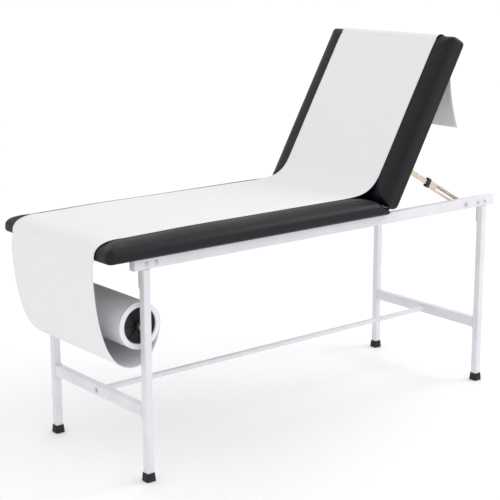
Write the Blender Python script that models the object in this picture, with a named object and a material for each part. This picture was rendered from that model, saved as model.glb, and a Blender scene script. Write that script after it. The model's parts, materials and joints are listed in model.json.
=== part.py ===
"""Medical exam table: a padded two-section top on a bolted tube frame, with a paper roll at the foot.

X runs from the foot to the head, Y from the near side to the far side, Z up from the floor.
The pieces are placed in table coordinates, whose X starts midway between the legs. One empty shifts
them all, so that the finished table stands with its box centred over the origin.
"""

import math

import bmesh
import bpy
from mathutils import Matrix, Vector

# Clearances
gap = 0.0003  # between two faces that touch
running = 0.0004  # round a shaft or a pin that turns
pad_gap = 0.003  # between the seat's head end and the raised back

# Frame tubes
frame_length = 1.502  # over the legs
frame_width = 0.550  # over the legs
tube = 0.025
tube_wall = 0.0015
tube_round = 0.003
rail_top = 0.698
rail_height = 0.037
rail_overhang = 0.030
plug_flange = 0.002
plug_depth = 0.018
crossbar_z = 0.2200
crossbar_height = 0.037
stretcher_tube = 0.016
stretcher_wall = 0.0012
stretcher_bolt_grip = 0.016
hinge_tube_behind = 0.087  # from the hinge line to the cross tube's middle

# Leg feet
foot_height = 0.027
foot_wall = 0.0022
foot_flare = 0.0018
foot_sole = 0.006
foot_round = 0.0055

# Bolts
bolt_r = 0.004
bolt_across = 0.013
bolt_head = 0.0053
bolt_below_rail_top = 0.021
bolt_pitch = 0.035
leg_plate_thick = 0.003
leg_plate_drop = 0.060
leg_plate_margin = 0.015
leg_plate_below_top = 0.003  # from the rail's top and bottom to the plate's edges

# Small sizes shared by several parts
side_gap = 0.001
small_round = 0.0015
least_inner_round = 0.0005
least_corner = 0.004
least_foam_step = 0.002
bore_reach = 0.010

# Pads
pad_overhang = 0.033  # beyond the frame on each side
seat_height = 0.059  # at the edge of the crown
back_height = 0.069
pad_crown = 0.003
crown_run = 0.110
pad_bottom_inset = 0.010
pad_bottom_rise = 0.020
pad_lift = 0.0005  # the underside over the rail tops
vinyl = 0.0012
vinyl_turn = 0.040  # how far the cover turns in under the board
board = 0.015
seat_overhang = 0.1405  # beyond the foot legs' outer faces
seat_bevel_run = 0.066  # the sides curve in this far and this high
seat_bevel_rise = 0.034
seat_corner_foot = 0.024
seat_corner_head = 0.026
seat_tip_setback = 0.008  # the seat's underside stops this far short of the hinge line
back_start = 0.006  # the back's lower end beyond the hinge line
back_length = 0.640
back_top_round = 0.028
back_corner_low = 0.024
back_corner_top = 0.018
hinge_from_head = 0.494  # from the head legs' outer faces
back_angle = 60.0  # degrees, at rest

# Back hinges
leaf_length = 0.045
leaf_width = 0.060
leaf_thick = 0.002
barrel_r = 0.0046
hinge_pin_r = 0.0025
hinge_y = 0.150
knuckle_gap = 0.0005
hinge_screw_y = 0.020
leaf_screw_out = 0.008  # from the leaf's edge to its outer and inner screws
leaf_screw_in = 0.022
neck_overlap = 0.003
neck_inset = 0.0002

# Struts
strut_pivot_from_head = 0.111  # from the head legs' outer faces
strut_eye_along = 0.169  # along the back's underside from the hinge line
strut_eye_below = 0.032
strut_from_rail = 0.0035  # between the rail and the channel
channel_height = 0.028
channel_thick = 0.010
channel_wall = 0.0014
channel_length = 0.196
channel_tail = 0.012
boss_r = 0.008
rack_start = 0.024
rack_pitch = 0.0124
rack_teeth = 10
rack_low = -0.0065
rack_mid = 0.0015
rack_high = 0.0050
bar_height = 0.018
bar_thick = 0.006
bar_reach = 0.158  # from the eye to the end inside the channel
collar_lip = 0.004
collar_sleeve = 0.011
collar_wall = 0.0022
collar_round = 0.003
bar_corner = 0.001
bracket_thick = 0.003
bracket_flange = 0.024
bracket_start = 0.112
bracket_end = 0.182
bracket_drop = 0.050
bracket_screw_in = 0.012
slot_end_r = 0.0060
slot_wide_r = 0.0152
slot_wide_along = 0.138
slot_wide_below = 0.0308
pin_head_r = 0.0075
pin_head = 0.003
pin_washer_r = 0.0160
pin_washer = 0.002
pivot_tail = 0.009  # the pivot bolt past the channel

# Screws
screw_r = 0.0020
screw_length = 0.013

# Paper
paper_width = 0.466
sheet_thick = 0.0008
sheet_lift = 0.0006  # over the crown
sheet_flat_from = 0.0915  # from the seat's foot edge
sheet_flat_short = 0.152  # of the hinge line
sheet_fold_run = 0.062  # how early the paper starts to fold over the foot edge
sheet_fold_fall = 0.0085
sheet_hang_from = 0.060  # below the top, where it hangs straight
sheet_off_edge = 0.006
loop_bottom_z = 0.3565
loop_bottom_out = 0.0235  # beyond the foot legs' centres
sheet_back_from = 0.105
roll_z = 0.482
roll_r = 0.0728
roll_open_r = 0.0572
core_wall = 0.0016
hub_recess = 0.006
hub_web = 0.003
hub_rim = 0.012
hub_boss_r = 0.011
hub_boss_out = 0.004
hub_rim_out = 0.002
hub_rim_wall = 0.003
hub_skirt_wall = 0.002
axle_r = 0.006
clip_r = 0.015
clip_length = 0.011
tail_length_z = 0.315
tail_off = 0.006  # the tail's line beyond the back's top end
tail_gap = 0.002
tail_sway = 0.016  # how far the hanging tail bows in, turns and kicks out
tail_sway_share = 0.42
tail_turn = 0.004
tail_turn_share = 0.62
tail_kick = 0.042
sheet_top_short = 0.002
loop_lean = 0.004  # the pulls that shape the slack loop
loop_pull_z = 0.520
loop_foot_run = 0.100
loop_head_run = 0.052
loop_tuck = 0.006
loop_rise = 0.068
roll_paper_gap = 0.0012

# Worked out from the sizes above
leg_x = (frame_length - tube) / 2
pad_width = frame_width + 2 * pad_overhang
seat_foot_x = -frame_length / 2 - seat_overhang
hinge_x = frame_length / 2 - hinge_from_head
strut_pivot_x = frame_length / 2 - strut_pivot_from_head
sheet_seat_from = seat_foot_x + sheet_flat_from
sheet_seat_to = hinge_x - sheet_flat_short
sheet_drop_x = seat_foot_x - sheet_off_edge
loop_bottom_x = -leg_x - loop_bottom_out
leg_y = (frame_width - tube) / 2
inner_y = frame_width / 2 - tube
rail_bottom = rail_top - rail_height
rail_end = frame_length / 2 + rail_overhang
bolt_z = rail_top - bolt_below_rail_top
pad_z = rail_top + pad_lift
seat_top = pad_z + seat_height + pad_crown
angle = math.radians(back_angle)
cos_a = math.cos(angle)
sin_a = math.sin(angle)
strut_y = inner_y - strut_from_rail - channel_thick / 2
eye_x = hinge_x + strut_eye_along * cos_a + strut_eye_below * sin_a
eye_z = pad_z + strut_eye_along * sin_a - strut_eye_below * cos_a
strut_length = math.hypot(strut_pivot_x - eye_x, eye_z - bolt_z)
strut_tilt = math.atan2(eye_z - bolt_z, strut_pivot_x - eye_x)
paper_outer_x = sheet_drop_x - sheet_thick
shift_x = -(rail_end + plug_flange + paper_outer_x) / 2

for old in list(bpy.data.objects):
    bpy.data.objects.remove(old, do_unlink=True)


# ---------------------------------------------------------------- tools


def finish(name, colour, roughness, metallic=0.0):
    """A plain material for one kind of surface."""
    made = bpy.data.materials.new(name)
    made.use_nodes = True
    shader = made.node_tree.nodes["Principled BSDF"]
    shader.inputs["Base Color"].default_value = (*colour, 1.0)
    shader.inputs["Roughness"].default_value = roughness
    shader.inputs["Metallic"].default_value = metallic
    made.diffuse_color = (*colour, 1.0)
    return made


powder_coat = finish("powder_coat", (0.86, 0.86, 0.88), 0.35)
vinyl_black = finish("vinyl_black", (0.025, 0.025, 0.03), 0.45)
foam_grey = finish("foam_grey", (0.55, 0.55, 0.50), 0.95)
plywood = finish("plywood", (0.55, 0.40, 0.24), 0.7)
rubber_black = finish("rubber_black", (0.02, 0.02, 0.02), 0.8)
zinc = finish("zinc", (0.62, 0.63, 0.66), 0.35, 1.0)
zinc_yellow = finish("zinc_yellow", (0.68, 0.56, 0.46), 0.4, 1.0)
plastic_white = finish("plastic_white", (0.85, 0.85, 0.86), 0.4)
plastic_black = finish("plastic_black", (0.015, 0.015, 0.016), 0.4)
paper_white = finish("paper_white", (0.87, 0.87, 0.88), 0.9)
card_brown = finish("card_brown", (0.42, 0.30, 0.19), 0.9)


def empty(name, location, parent=None, tilt_y=0.0):
    """A guide that pieces hang on, for instance on a joint's axis. tilt_y lifts its +X towards +Z."""
    made = bpy.data.objects.new(name, None)
    made.empty_display_size = 0.05
    made.location = location
    made.rotation_euler = (0.0, -tilt_y, 0.0)
    made.parent = parent
    bpy.context.collection.objects.link(made)
    return made


def solid(name, lofts, material, parent, smooth=35.0):
    """One node: each loft is (sections, closed), skinned from section to section.

    An open loft is capped at both ends. A closed one joins its last section to its first.
    """
    work = bmesh.new()
    for sections, closed in lofts:
        rings = [[work.verts.new(point) for point in section] for section in sections]
        count = len(rings[0])
        pairs = list(zip(rings, rings[1:]))
        if closed:
            pairs.append((rings[-1], rings[0]))
        else:
            work.faces.new(rings[0])
            work.faces.new(reversed(rings[-1]))
        for low, high in pairs:
            for i in range(count):
                j = (i + 1) % count
                work.faces.new((low[i], low[j], high[j], high[i]))
    bmesh.ops.remove_doubles(work, verts=work.verts, dist=1e-6)
    bmesh.ops.dissolve_degenerate(work, dist=1e-7, edges=work.edges)
    bmesh.ops.recalc_face_normals(work, faces=work.faces)
    mesh = bpy.data.meshes.new(name)
    work.to_mesh(mesh)
    work.free()
    mesh.materials.append(material)
    mesh.shade_smooth()
    mesh.set_sharp_from_angle(angle=math.radians(smooth))
    made = bpy.data.objects.new(name, mesh)
    made.parent = parent
    bpy.context.collection.objects.link(made)
    return made


def cut(piece, lofts, name, operation="DIFFERENCE"):
    """Takes a shape away from a piece, or joins one to it, with a hidden tool object."""
    tool = solid(name, lofts, powder_coat, piece.parent)
    tool.hide_render = True
    tool.display_type = "WIRE"
    change = piece.modifiers.new(name, "BOOLEAN")
    change.object = tool
    change.operation = operation
    change.solver = "EXACT"


def circle(radius, count):
    return [
        (radius * math.cos(2 * math.pi * i / count), radius * math.sin(2 * math.pi * i / count))
        for i in range(count)
    ]


def hexagon(across):
    """Six flats on twelve points, so that it joins to a round of twelve."""
    corner = across / 2 / math.cos(math.pi / 6)
    return [
        (r * math.cos(math.pi * i / 6), r * math.sin(math.pi * i / 6))
        for i, r in ((i, corner if i % 2 == 0 else across / 2) for i in range(12))
    ]


def rounded_rectangle(low, high, radii, steps=3):
    """Corners by quarter arcs. radii are those at the low and high end of the first direction."""
    points = []
    corners = (
        (high[0], high[1], radii[1], 0.0),
        (low[0], high[1], radii[0], 0.5),
        (low[0], low[1], radii[0], 1.0),
        (high[0], low[1], radii[1], 1.5),
    )
    for x, y, radius, turn in corners:
        middle_x = x - math.copysign(radius, x - (low[0] + high[0]) / 2)
        middle_y = y - math.copysign(radius, y - (low[1] + high[1]) / 2)
        for i in range(steps + 1):
            a = math.pi * (turn + 0.5 * i / steps)
            points.append((middle_x + radius * math.cos(a), middle_y + radius * math.sin(a)))
    return points


def section(points, axis, at):
    """Lays a flat outline across an axis, at a place along it."""
    if axis == "X":
        return [Vector((at, a, b)) for a, b in points]
    if axis == "Y":
        return [Vector((a, at, b)) for a, b in points]
    return [Vector((a, b, at)) for a, b in points]


def moved(loft, x=0.0, y=0.0, z=0.0):
    sections, closed = loft
    step = Vector((x, y, z))
    return [[point + step for point in ring] for ring in sections], closed


def hollow(outer, inner, axis, start, end):
    """A tube with open ends."""
    rings = [(outer, start), (outer, end), (inner, end), (inner, start)]
    return [section(points, axis, at) for points, at in rings], True


def bar(outline, axis, start, end):
    return [section(outline, axis, start), section(outline, axis, end)], False


def block(low, high):
    corners = [(low[0], low[1]), (high[0], low[1]), (high[0], high[1]), (low[0], high[1])]
    return bar(corners, "Z", low[2], high[2])


def turned(profile, count, x=0.0, y=0.0, z=0.0):
    """A ring turned about Y from a closed profile of (radius, y)."""
    rings = [section(circle(r, count), "Y", at) for r, at in profile]
    return moved((rings, True), x, y, z)


def rod(radius, axis, start, end, count=12):
    return bar(circle(radius, count), axis, start, end)


def square_outline(width, height, corner):
    return rounded_rectangle(
        (-width / 2, -height / 2), (width / 2, height / 2), (corner, corner), 2
    )


def square_tube(name, axis, start, end, width, height, wall, place, parent):
    outer = square_outline(width, height, tube_round)
    inner = square_outline(width - 2 * wall, height - 2 * wall, tube_round - wall + least_inner_round)
    return solid(name, [moved(hollow(outer, inner, axis, start, end), *place)], powder_coat, parent)


def bezier(p0, p1, p2, p3, steps):
    points = []
    for i in range(steps + 1):
        t = i / steps
        u = 1 - t
        weights = (u * u * u, 3 * u * u * t, 3 * u * t * t, t * t * t)
        points.append(
            tuple(sum(w * p[k] for w, p in zip(weights, (p0, p1, p2, p3))) for k in (0, 1))
        )
    return points


def sheet(name, path, thick, width, material, parent):
    """A thin strip that follows a path of (x, z) points. It thickens to the path's left."""
    offset = []
    for i, point in enumerate(path):
        before = path[max(i - 1, 0)]
        after = path[min(i + 1, len(path) - 1)]
        run = math.hypot(after[0] - before[0], after[1] - before[1])
        left = (-(after[1] - before[1]) / run, (after[0] - before[0]) / run)
        offset.append((point[0] + thick * left[0], point[1] + thick * left[1]))
    sections = [
        [
            Vector((p[0], -width / 2, p[1])),
            Vector((p[0], width / 2, p[1])),
            Vector((q[0], width / 2, q[1])),
            Vector((q[0], -width / 2, q[1])),
        ]
        for p, q in zip(path, offset)
    ]
    return solid(name, [(sections, False)], material, parent)


# ---------------------------------------------------------------- frame


def make_rails(table):
    for side, sign in (("near", -1), ("far", 1)):
        place = (0, sign * leg_y, (rail_top + rail_bottom) / 2)
        rail = square_tube(
            f"side_rail_{side}", "X", -rail_end, rail_end, tube, rail_height, tube_wall, place, table
        )
        holes = [x for leg in (-leg_x, leg_x) for x in (leg, leg - math.copysign(bolt_pitch, leg))]
        holes.append(strut_pivot_x)
        reach = frame_width / 2 + tube
        bores = [
            moved(rod(bolt_r + gap, "Y", sign * (inner_y - tube), sign * reach), x, 0, bolt_z)
            for x in holes
        ]
        cut(rail, bores, f"rail_bores_{side}")
    shank = square_outline(
        tube - 2 * tube_wall - 2 * gap, rail_height - 2 * tube_wall - 2 * gap, small_round
    )
    cap = square_outline(tube, rail_height, tube_round)
    for end, way in (("foot", -1), ("head", 1)):
        rings = [
            (cap, rail_end + plug_flange),
            (cap, rail_end + gap),
            (shank, rail_end + gap),
            (shank, rail_end - plug_depth),
        ]
        sections = [section(points, "X", way * at) for points, at in rings]
        for side, sign in (("near", -1), ("far", 1)):
            loft = moved((sections, False), 0, sign * leg_y, (rail_top + rail_bottom) / 2)
            solid(f"rail_plug_{end}_{side}", [loft], plastic_white, table)


def make_legs(table):
    outer = tube / 2 + foot_wall
    for end, x in (("foot", -leg_x), ("head", leg_x)):
        for side, y in (("near", -leg_y), ("far", leg_y)):
            square_tube(
                f"leg_{end}_{side}", "Z", foot_sole + gap, rail_bottom - gap, tube, tube, tube_wall,
                (x, y, 0), table,
            )
            flared = square_outline(2 * (outer + foot_flare), 2 * (outer + foot_flare), foot_round)
            top = square_outline(2 * outer, 2 * outer, foot_round)
            pocket = square_outline(tube + 2 * gap, tube + 2 * gap, tube_round)
            rings = [
                (flared, 0.0),
                (flared, foot_sole),
                (top, foot_height),
                (pocket, foot_height),
                (pocket, foot_sole),
            ]
            sections = [section(points, "Z", at) for points, at in rings]
            solid(
                f"rubber_foot_{end}_{side}", [moved((sections, False), x, y, 0)], rubber_black, table
            )


def make_crossbars(table):
    reach = inner_y - gap
    for end, x in (("foot", -leg_x), ("head", leg_x)):
        piece = square_tube(
            f"crossbar_{end}", "Y", -reach, reach, tube, crossbar_height, tube_wall,
            (x, 0, crossbar_z), table,
        )
        cut(
            piece,
            [moved(rod(bolt_r + gap, "X", x - tube, x + tube), 0, 0, crossbar_z)],
            f"crossbar_bore_{end}",
        )
    inside = leg_x - tube / 2 - gap
    square_tube(
        "stretcher", "X", -inside, inside, stretcher_tube, stretcher_tube, stretcher_wall,
        (0, 0, crossbar_z), table,
    )
    reach = inner_y - gap
    tube_z = rail_top - tube / 2
    square_tube(
        "cross_tube_hinge", "Y", -reach, reach, tube, tube, tube_wall,
        (hinge_x - hinge_tube_behind, 0, tube_z), table,
    )
    for end, way in (("foot", -1), ("head", 1)):
        bolt = hex_bolt("X", way, leg_x + tube / 2, tube + stretcher_bolt_grip)
        solid(f"stretcher_bolt_{end}", [moved(bolt, 0, 0, crossbar_z)], zinc, table)


def hex_bolt(axis, sign, face, length):
    """A bolt whose head bears on a face at +-face and whose shank points to the middle."""
    head = hexagon(bolt_across)
    shank = circle(bolt_r, 12)
    rings = [
        (head, face + gap + bolt_head),
        (head, face + gap),
        (shank, face + gap),
        (shank, face - length),
    ]
    return [section(points, axis, sign * at) for points, at in rings], False


def make_leg_plates(table):
    low = rail_bottom - leg_plate_drop
    plate_outer = inner_y - gap
    plate_inner = plate_outer - leg_plate_thick
    for end, x in (("foot", -leg_x), ("head", leg_x)):
        inward = -math.copysign(1, x)
        for side, sign in (("near", -1), ("far", 1)):
            start = x - inward * tube / 2
            finish_x = x + inward * (bolt_pitch + leg_plate_margin)
            corner_x = x + inward * tube / 2
            outline = [
                (start, low),
                (corner_x, low),
                (corner_x, rail_bottom + leg_plate_below_top),
                (finish_x, rail_bottom + leg_plate_below_top),
                (finish_x, rail_top - leg_plate_below_top),
                (start, rail_top - leg_plate_below_top),
            ]
            plate = solid(
                f"leg_plate_{end}_{side}",
                [bar(outline, "Y", sign * plate_inner, sign * plate_outer)],
                powder_coat,
                table,
            )
            bores = []
            for at in (x, x + inward * bolt_pitch):
                reach = (sign * (plate_inner - tube), sign * (plate_outer + tube))
                bores.append(moved(rod(bolt_r + gap, "Y", *reach), at, 0, bolt_z))
            cut(plate, bores, f"plate_bores_{end}_{side}")


# ---------------------------------------------------------------- pads


def pad_profile(height, run, rise, levels=()):
    """Points up a pad's side: (inset, height, outward, upward), the last two a unit normal.

    The side pulls in to the board at the bottom, rounds over at the top and rises to the crown.
    levels are extra heights on the straight side, where an end changes its slope.
    """
    points = []
    for i in range(4):
        a = math.pi / 2 * (1 - i / 3)
        points.append(
            (
                pad_bottom_inset * (1 - math.cos(a)),
                pad_bottom_rise * (1 - math.sin(a)),
                math.cos(a),
                -math.sin(a),
            )
        )
    shoulder = height - rise
    for level in sorted(levels):
        if pad_bottom_rise < level < shoulder:
            points.append((0.0, level, 1.0, 0.0))
    for i in range(6):
        a = math.pi / 2 * i / 5
        points.append(
            (
                run * (1 - math.cos(a)),
                shoulder + rise * math.sin(a),
                rise * math.cos(a) / math.hypot(rise * math.cos(a), run * math.sin(a)),
                run * math.sin(a) / math.hypot(rise * math.cos(a), run * math.sin(a)),
            )
        )
    for i in range(1, 4):
        share = i / 3
        points.append(
            (
                run + crown_run * share,
                height + pad_crown * math.sin(math.pi / 2 * share),
                0.0,
                1.0,
            )
        )
    return points


def pad_ring(start, end, corners, inset, height):
    """One level of a pad: start and end may depend on the height."""
    half = pad_width / 2 - inset
    low = (start + inset, -half)
    high = (end(height) - inset, half)
    radii = [max(radius - inset, least_corner) for radius in corners]
    return section(rounded_rectangle(low, high, radii, 4), "Z", height)


def pad_pieces(kind, start, end, corners, section_sizes, levels, parent):
    """The board, the foam on it and the cover that wraps both and turns in under the board."""
    profile = pad_profile(*section_sizes, levels)
    outer = [pad_ring(start, end, corners, inset, z) for inset, z, _, _ in profile]

    def shrunk(depth):
        return [
            (inset + depth * out, z - depth * up) for inset, z, out, up in profile[1:]
        ]

    def end_less(depth):
        return lambda z: end(z) - depth * 0.5

    inner = [
        pad_ring(start, end_less(vinyl), corners, inset, z)
        for inset, z in shrunk(vinyl)
        if z > vinyl
    ]
    edge = pad_bottom_inset + vinyl
    floor_ring = pad_ring(start, end_less(vinyl), corners, edge, vinyl)
    turn = pad_bottom_inset + vinyl_turn
    turn_low = pad_ring(start, lambda z: end(0.0), corners, turn, 0.0)
    turn_high = pad_ring(start, lambda z: end(0.0), corners, turn, vinyl)
    sections = [*reversed(outer), turn_low, turn_high, floor_ring, *inner]
    cover = solid(f"{kind}_cover", [(sections, False)], vinyl_black, parent, 50.0)

    bottom = vinyl + gap
    top = bottom + board
    board_inset = pad_bottom_inset + vinyl + gap
    board_end = end(top) - vinyl - gap
    low_ring = pad_ring(start, lambda z: board_end, corners, board_inset, bottom)
    high_ring = pad_ring(start, lambda z: board_end, corners, board_inset, top)
    base = solid(f"{kind}_board", [([low_ring, high_ring], False)], plywood, parent)

    depth = vinyl + 2 * gap
    foam_low = top + gap
    first = pad_ring(start, end_less(2 * depth), corners, board_inset, foam_low)
    rings = [
        pad_ring(start, end_less(2 * depth), corners, inset, z)
        for inset, z in shrunk(depth)
        if z > foam_low + least_foam_step
    ]
    solid(f"{kind}_foam", [([first, *rings], False)], foam_grey, parent, 50.0)
    return cover, base


def seat_end(height):
    """Where the seat ends at a height over its underside: it clears the raised back's lower end."""
    raised_round = hinge_x + back_start * cos_a + back_top_round * cos_a
    raised_round -= (back_height - back_top_round) * sin_a + back_top_round
    upright = raised_round - pad_gap
    slope = hinge_x + (back_start - pad_gap) / cos_a - height * math.tan(angle)
    return max(upright, min(hinge_x - seat_tip_setback, slope))


def seat_levels():
    """Heights where the seat's head end turns from its tip to the slope and to upright."""
    upright = seat_end(seat_height)
    start = hinge_x + (back_start - pad_gap) / cos_a
    tip = (start - hinge_x + seat_tip_setback) / math.tan(angle)
    return tip, (start - upright) / math.tan(angle)


def screw_bores(places, low, high):
    return [moved(rod(screw_r + gap, "Z", low, high, 10), x, y, 0) for x, y in places]


def leaf_screw_places(sign):
    """Screw places of both hinges' leaves, in the hinge line's own coordinates."""
    out = leaf_length - leaf_screw_out
    near = leaf_length - leaf_screw_in
    return [
        (sign * x, y + side * hinge_y)
        for side in (-1, 1)
        for x, y in ((out, -hinge_screw_y), (out, hinge_screw_y), (near, 0.0))
    ]


def make_leaf(name, sign, side, parent):
    """A hinge leaf with its knuckles. sign is -1 for the seat's leaf and +1 for the back's."""
    third = leaf_width / 3
    middle = side * hinge_y
    plate_from = barrel_r + side_gap
    plate = solid(
        name,
        [
            block(
                (min(sign * plate_from, sign * leaf_length), middle - leaf_width / 2, -gap - leaf_thick),
                (max(sign * plate_from, sign * leaf_length), middle + leaf_width / 2, -gap),
            )
        ],
        zinc,
        parent,
    )
    spans = [(-1.5, -0.5), (0.5, 1.5)] if sign < 0 else [(-0.5, 0.5)]
    knuckles = []
    neck_low = -gap - leaf_thick
    start = math.asin(-gap / barrel_r)
    stop = 2 * math.pi - math.asin((gap + leaf_thick) / barrel_r)
    arc = [start + (stop - start) * i / 14 for i in range(15)]
    outline = [(barrel_r * math.cos(a), barrel_r * math.sin(a)) for a in arc]
    neck = plate_from + neck_overlap
    outline += [(neck, neck_low + neck_inset), (neck, -gap - neck_inset)]
    outline = [(sign * x, z) for x, z in outline]
    for low, high in spans:
        inset = knuckle_gap / 2
        knuckles.append(
            bar(outline, "Y", middle + low * third + inset, middle + high * third - inset)
        )
    cut(plate, knuckles, f"{name}_knuckles", "UNION")
    bore = rod(hinge_pin_r + running, "Y", middle - leaf_width, middle + leaf_width, 16)
    places = [p for p in leaf_screw_places(sign) if p[1] * side > 0]
    cut(plate, [bore], f"{name}_bore")
    cut(plate, screw_bores(places, -bore_reach, bore_reach), f"{name}_screw_bores")


def make_seat(table):
    base = empty("seat_origin", (0, 0, pad_z), table)
    cover, plate = pad_pieces(
        "seat", seat_foot_x, seat_end, (seat_corner_foot, seat_corner_head),
        (seat_height, seat_bevel_run, seat_bevel_rise), seat_levels(), base,
    )
    places = [(hinge_x + x, y) for x, y in leaf_screw_places(-1)]
    bores = screw_bores(places, -bore_reach, vinyl + screw_length)
    cut(cover, screw_bores(places, -bore_reach, vinyl + 2 * gap), "seat_cover_bores")
    cut(plate, bores, "seat_board_bores")


def make_back(back):
    cover, plate = pad_pieces(
        "back", back_start, lambda z: back_length, (back_corner_low, back_corner_top),
        (back_height, back_top_round, back_top_round), (), back,
    )
    places = leaf_screw_places(1)
    cut(cover, screw_bores(places, -bore_reach, vinyl + 2 * gap), "back_cover_bores")
    cut(plate, screw_bores(places, -bore_reach, vinyl + screw_length), "back_board_bores")
    cut(plate, screw_bores(bracket_screw_places(), -bore_reach, vinyl + screw_length), "bracket_bores")


def make_hinges(table, back):
    line = empty("hinge_line", (hinge_x, 0, pad_z), table)
    half = leaf_width / 2 + side_gap
    for side, sign in (("near", -1), ("far", 1)):
        make_leaf(f"hinge_leaf_seat_{side}", -1, sign, line)
        make_leaf(f"hinge_leaf_back_{side}", 1, sign, back)
        pin = moved(rod(hinge_pin_r, "Y", -half, half, 16), 0, sign * hinge_y, 0)
        solid(f"hinge_pin_{side}", [pin], zinc, line)


# ---------------------------------------------------------------- struts


def bracket_screw_places():
    ear = strut_y - channel_thick / 2 - collar_wall - side_gap
    middle = ear - bracket_flange / 2
    return [
        (along, sign * middle)
        for sign in (-1, 1)
        for along in (bracket_start + bracket_screw_in, bracket_end - bracket_screw_in)
    ]


def make_brackets(back):
    """An angle under the back board. Its slot lets the strut's pin wander at mid travel."""
    ear = strut_y - channel_thick / 2 - collar_wall - side_gap
    under = vinyl
    for side, sign in (("near", -1), ("far", 1)):
        outline = [
            (sign * ear, under),
            (sign * ear, -bracket_drop),
            (sign * (ear - bracket_thick), -bracket_drop),
            (sign * (ear - bracket_thick), under - bracket_thick),
            (sign * (ear - bracket_flange), under - bracket_thick),
            (sign * (ear - bracket_flange), under),
        ]
        piece = solid(
            f"strut_bracket_{side}", [bar(outline, "X", bracket_start, bracket_end)],
            zinc_yellow, back,
        )
        distance = strut_eye_along - slot_wide_along
        tangent = math.asin((slot_wide_r - slot_end_r) / distance)
        slot = []
        for i in range(9):
            a = -(math.pi / 2 - tangent) - (math.pi + 2 * tangent) * i / 8
            x = slot_wide_along + slot_wide_r * math.cos(a)
            slot.append((x, slot_wide_r * math.sin(a) - slot_wide_below))
        for i in range(7):
            a = (math.pi / 2 - tangent) * (1 - i / 3)
            x = strut_eye_along + slot_end_r * math.cos(a)
            slot.append((x, slot_end_r * math.sin(a) - strut_eye_below))
        reach = (sign * (ear - 2 * bracket_thick), sign * (ear + bracket_thick))
        cut(piece, [bar(slot, "Y", *reach)], f"bracket_slot_{side}")
        places = [p for p in bracket_screw_places() if p[1] * sign > 0]
        cut(piece, screw_bores(places, -bore_reach, bore_reach), f"bracket_screw_bores_{side}")


def rack_window():
    """The long slot with ratchet teeth on its upper edge."""
    points = [(rack_start, rack_low)]
    end = rack_start + rack_teeth * rack_pitch
    points.append((end, rack_low))
    for i in reversed(range(rack_teeth)):
        at = rack_start + i * rack_pitch
        points.append((at + rack_pitch, rack_mid))
        points.append((at + rack_pitch * 0.35, rack_high))
        points.append((at + rack_pitch * 0.30, rack_mid))
    points.append((rack_start, rack_mid))
    return points


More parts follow.
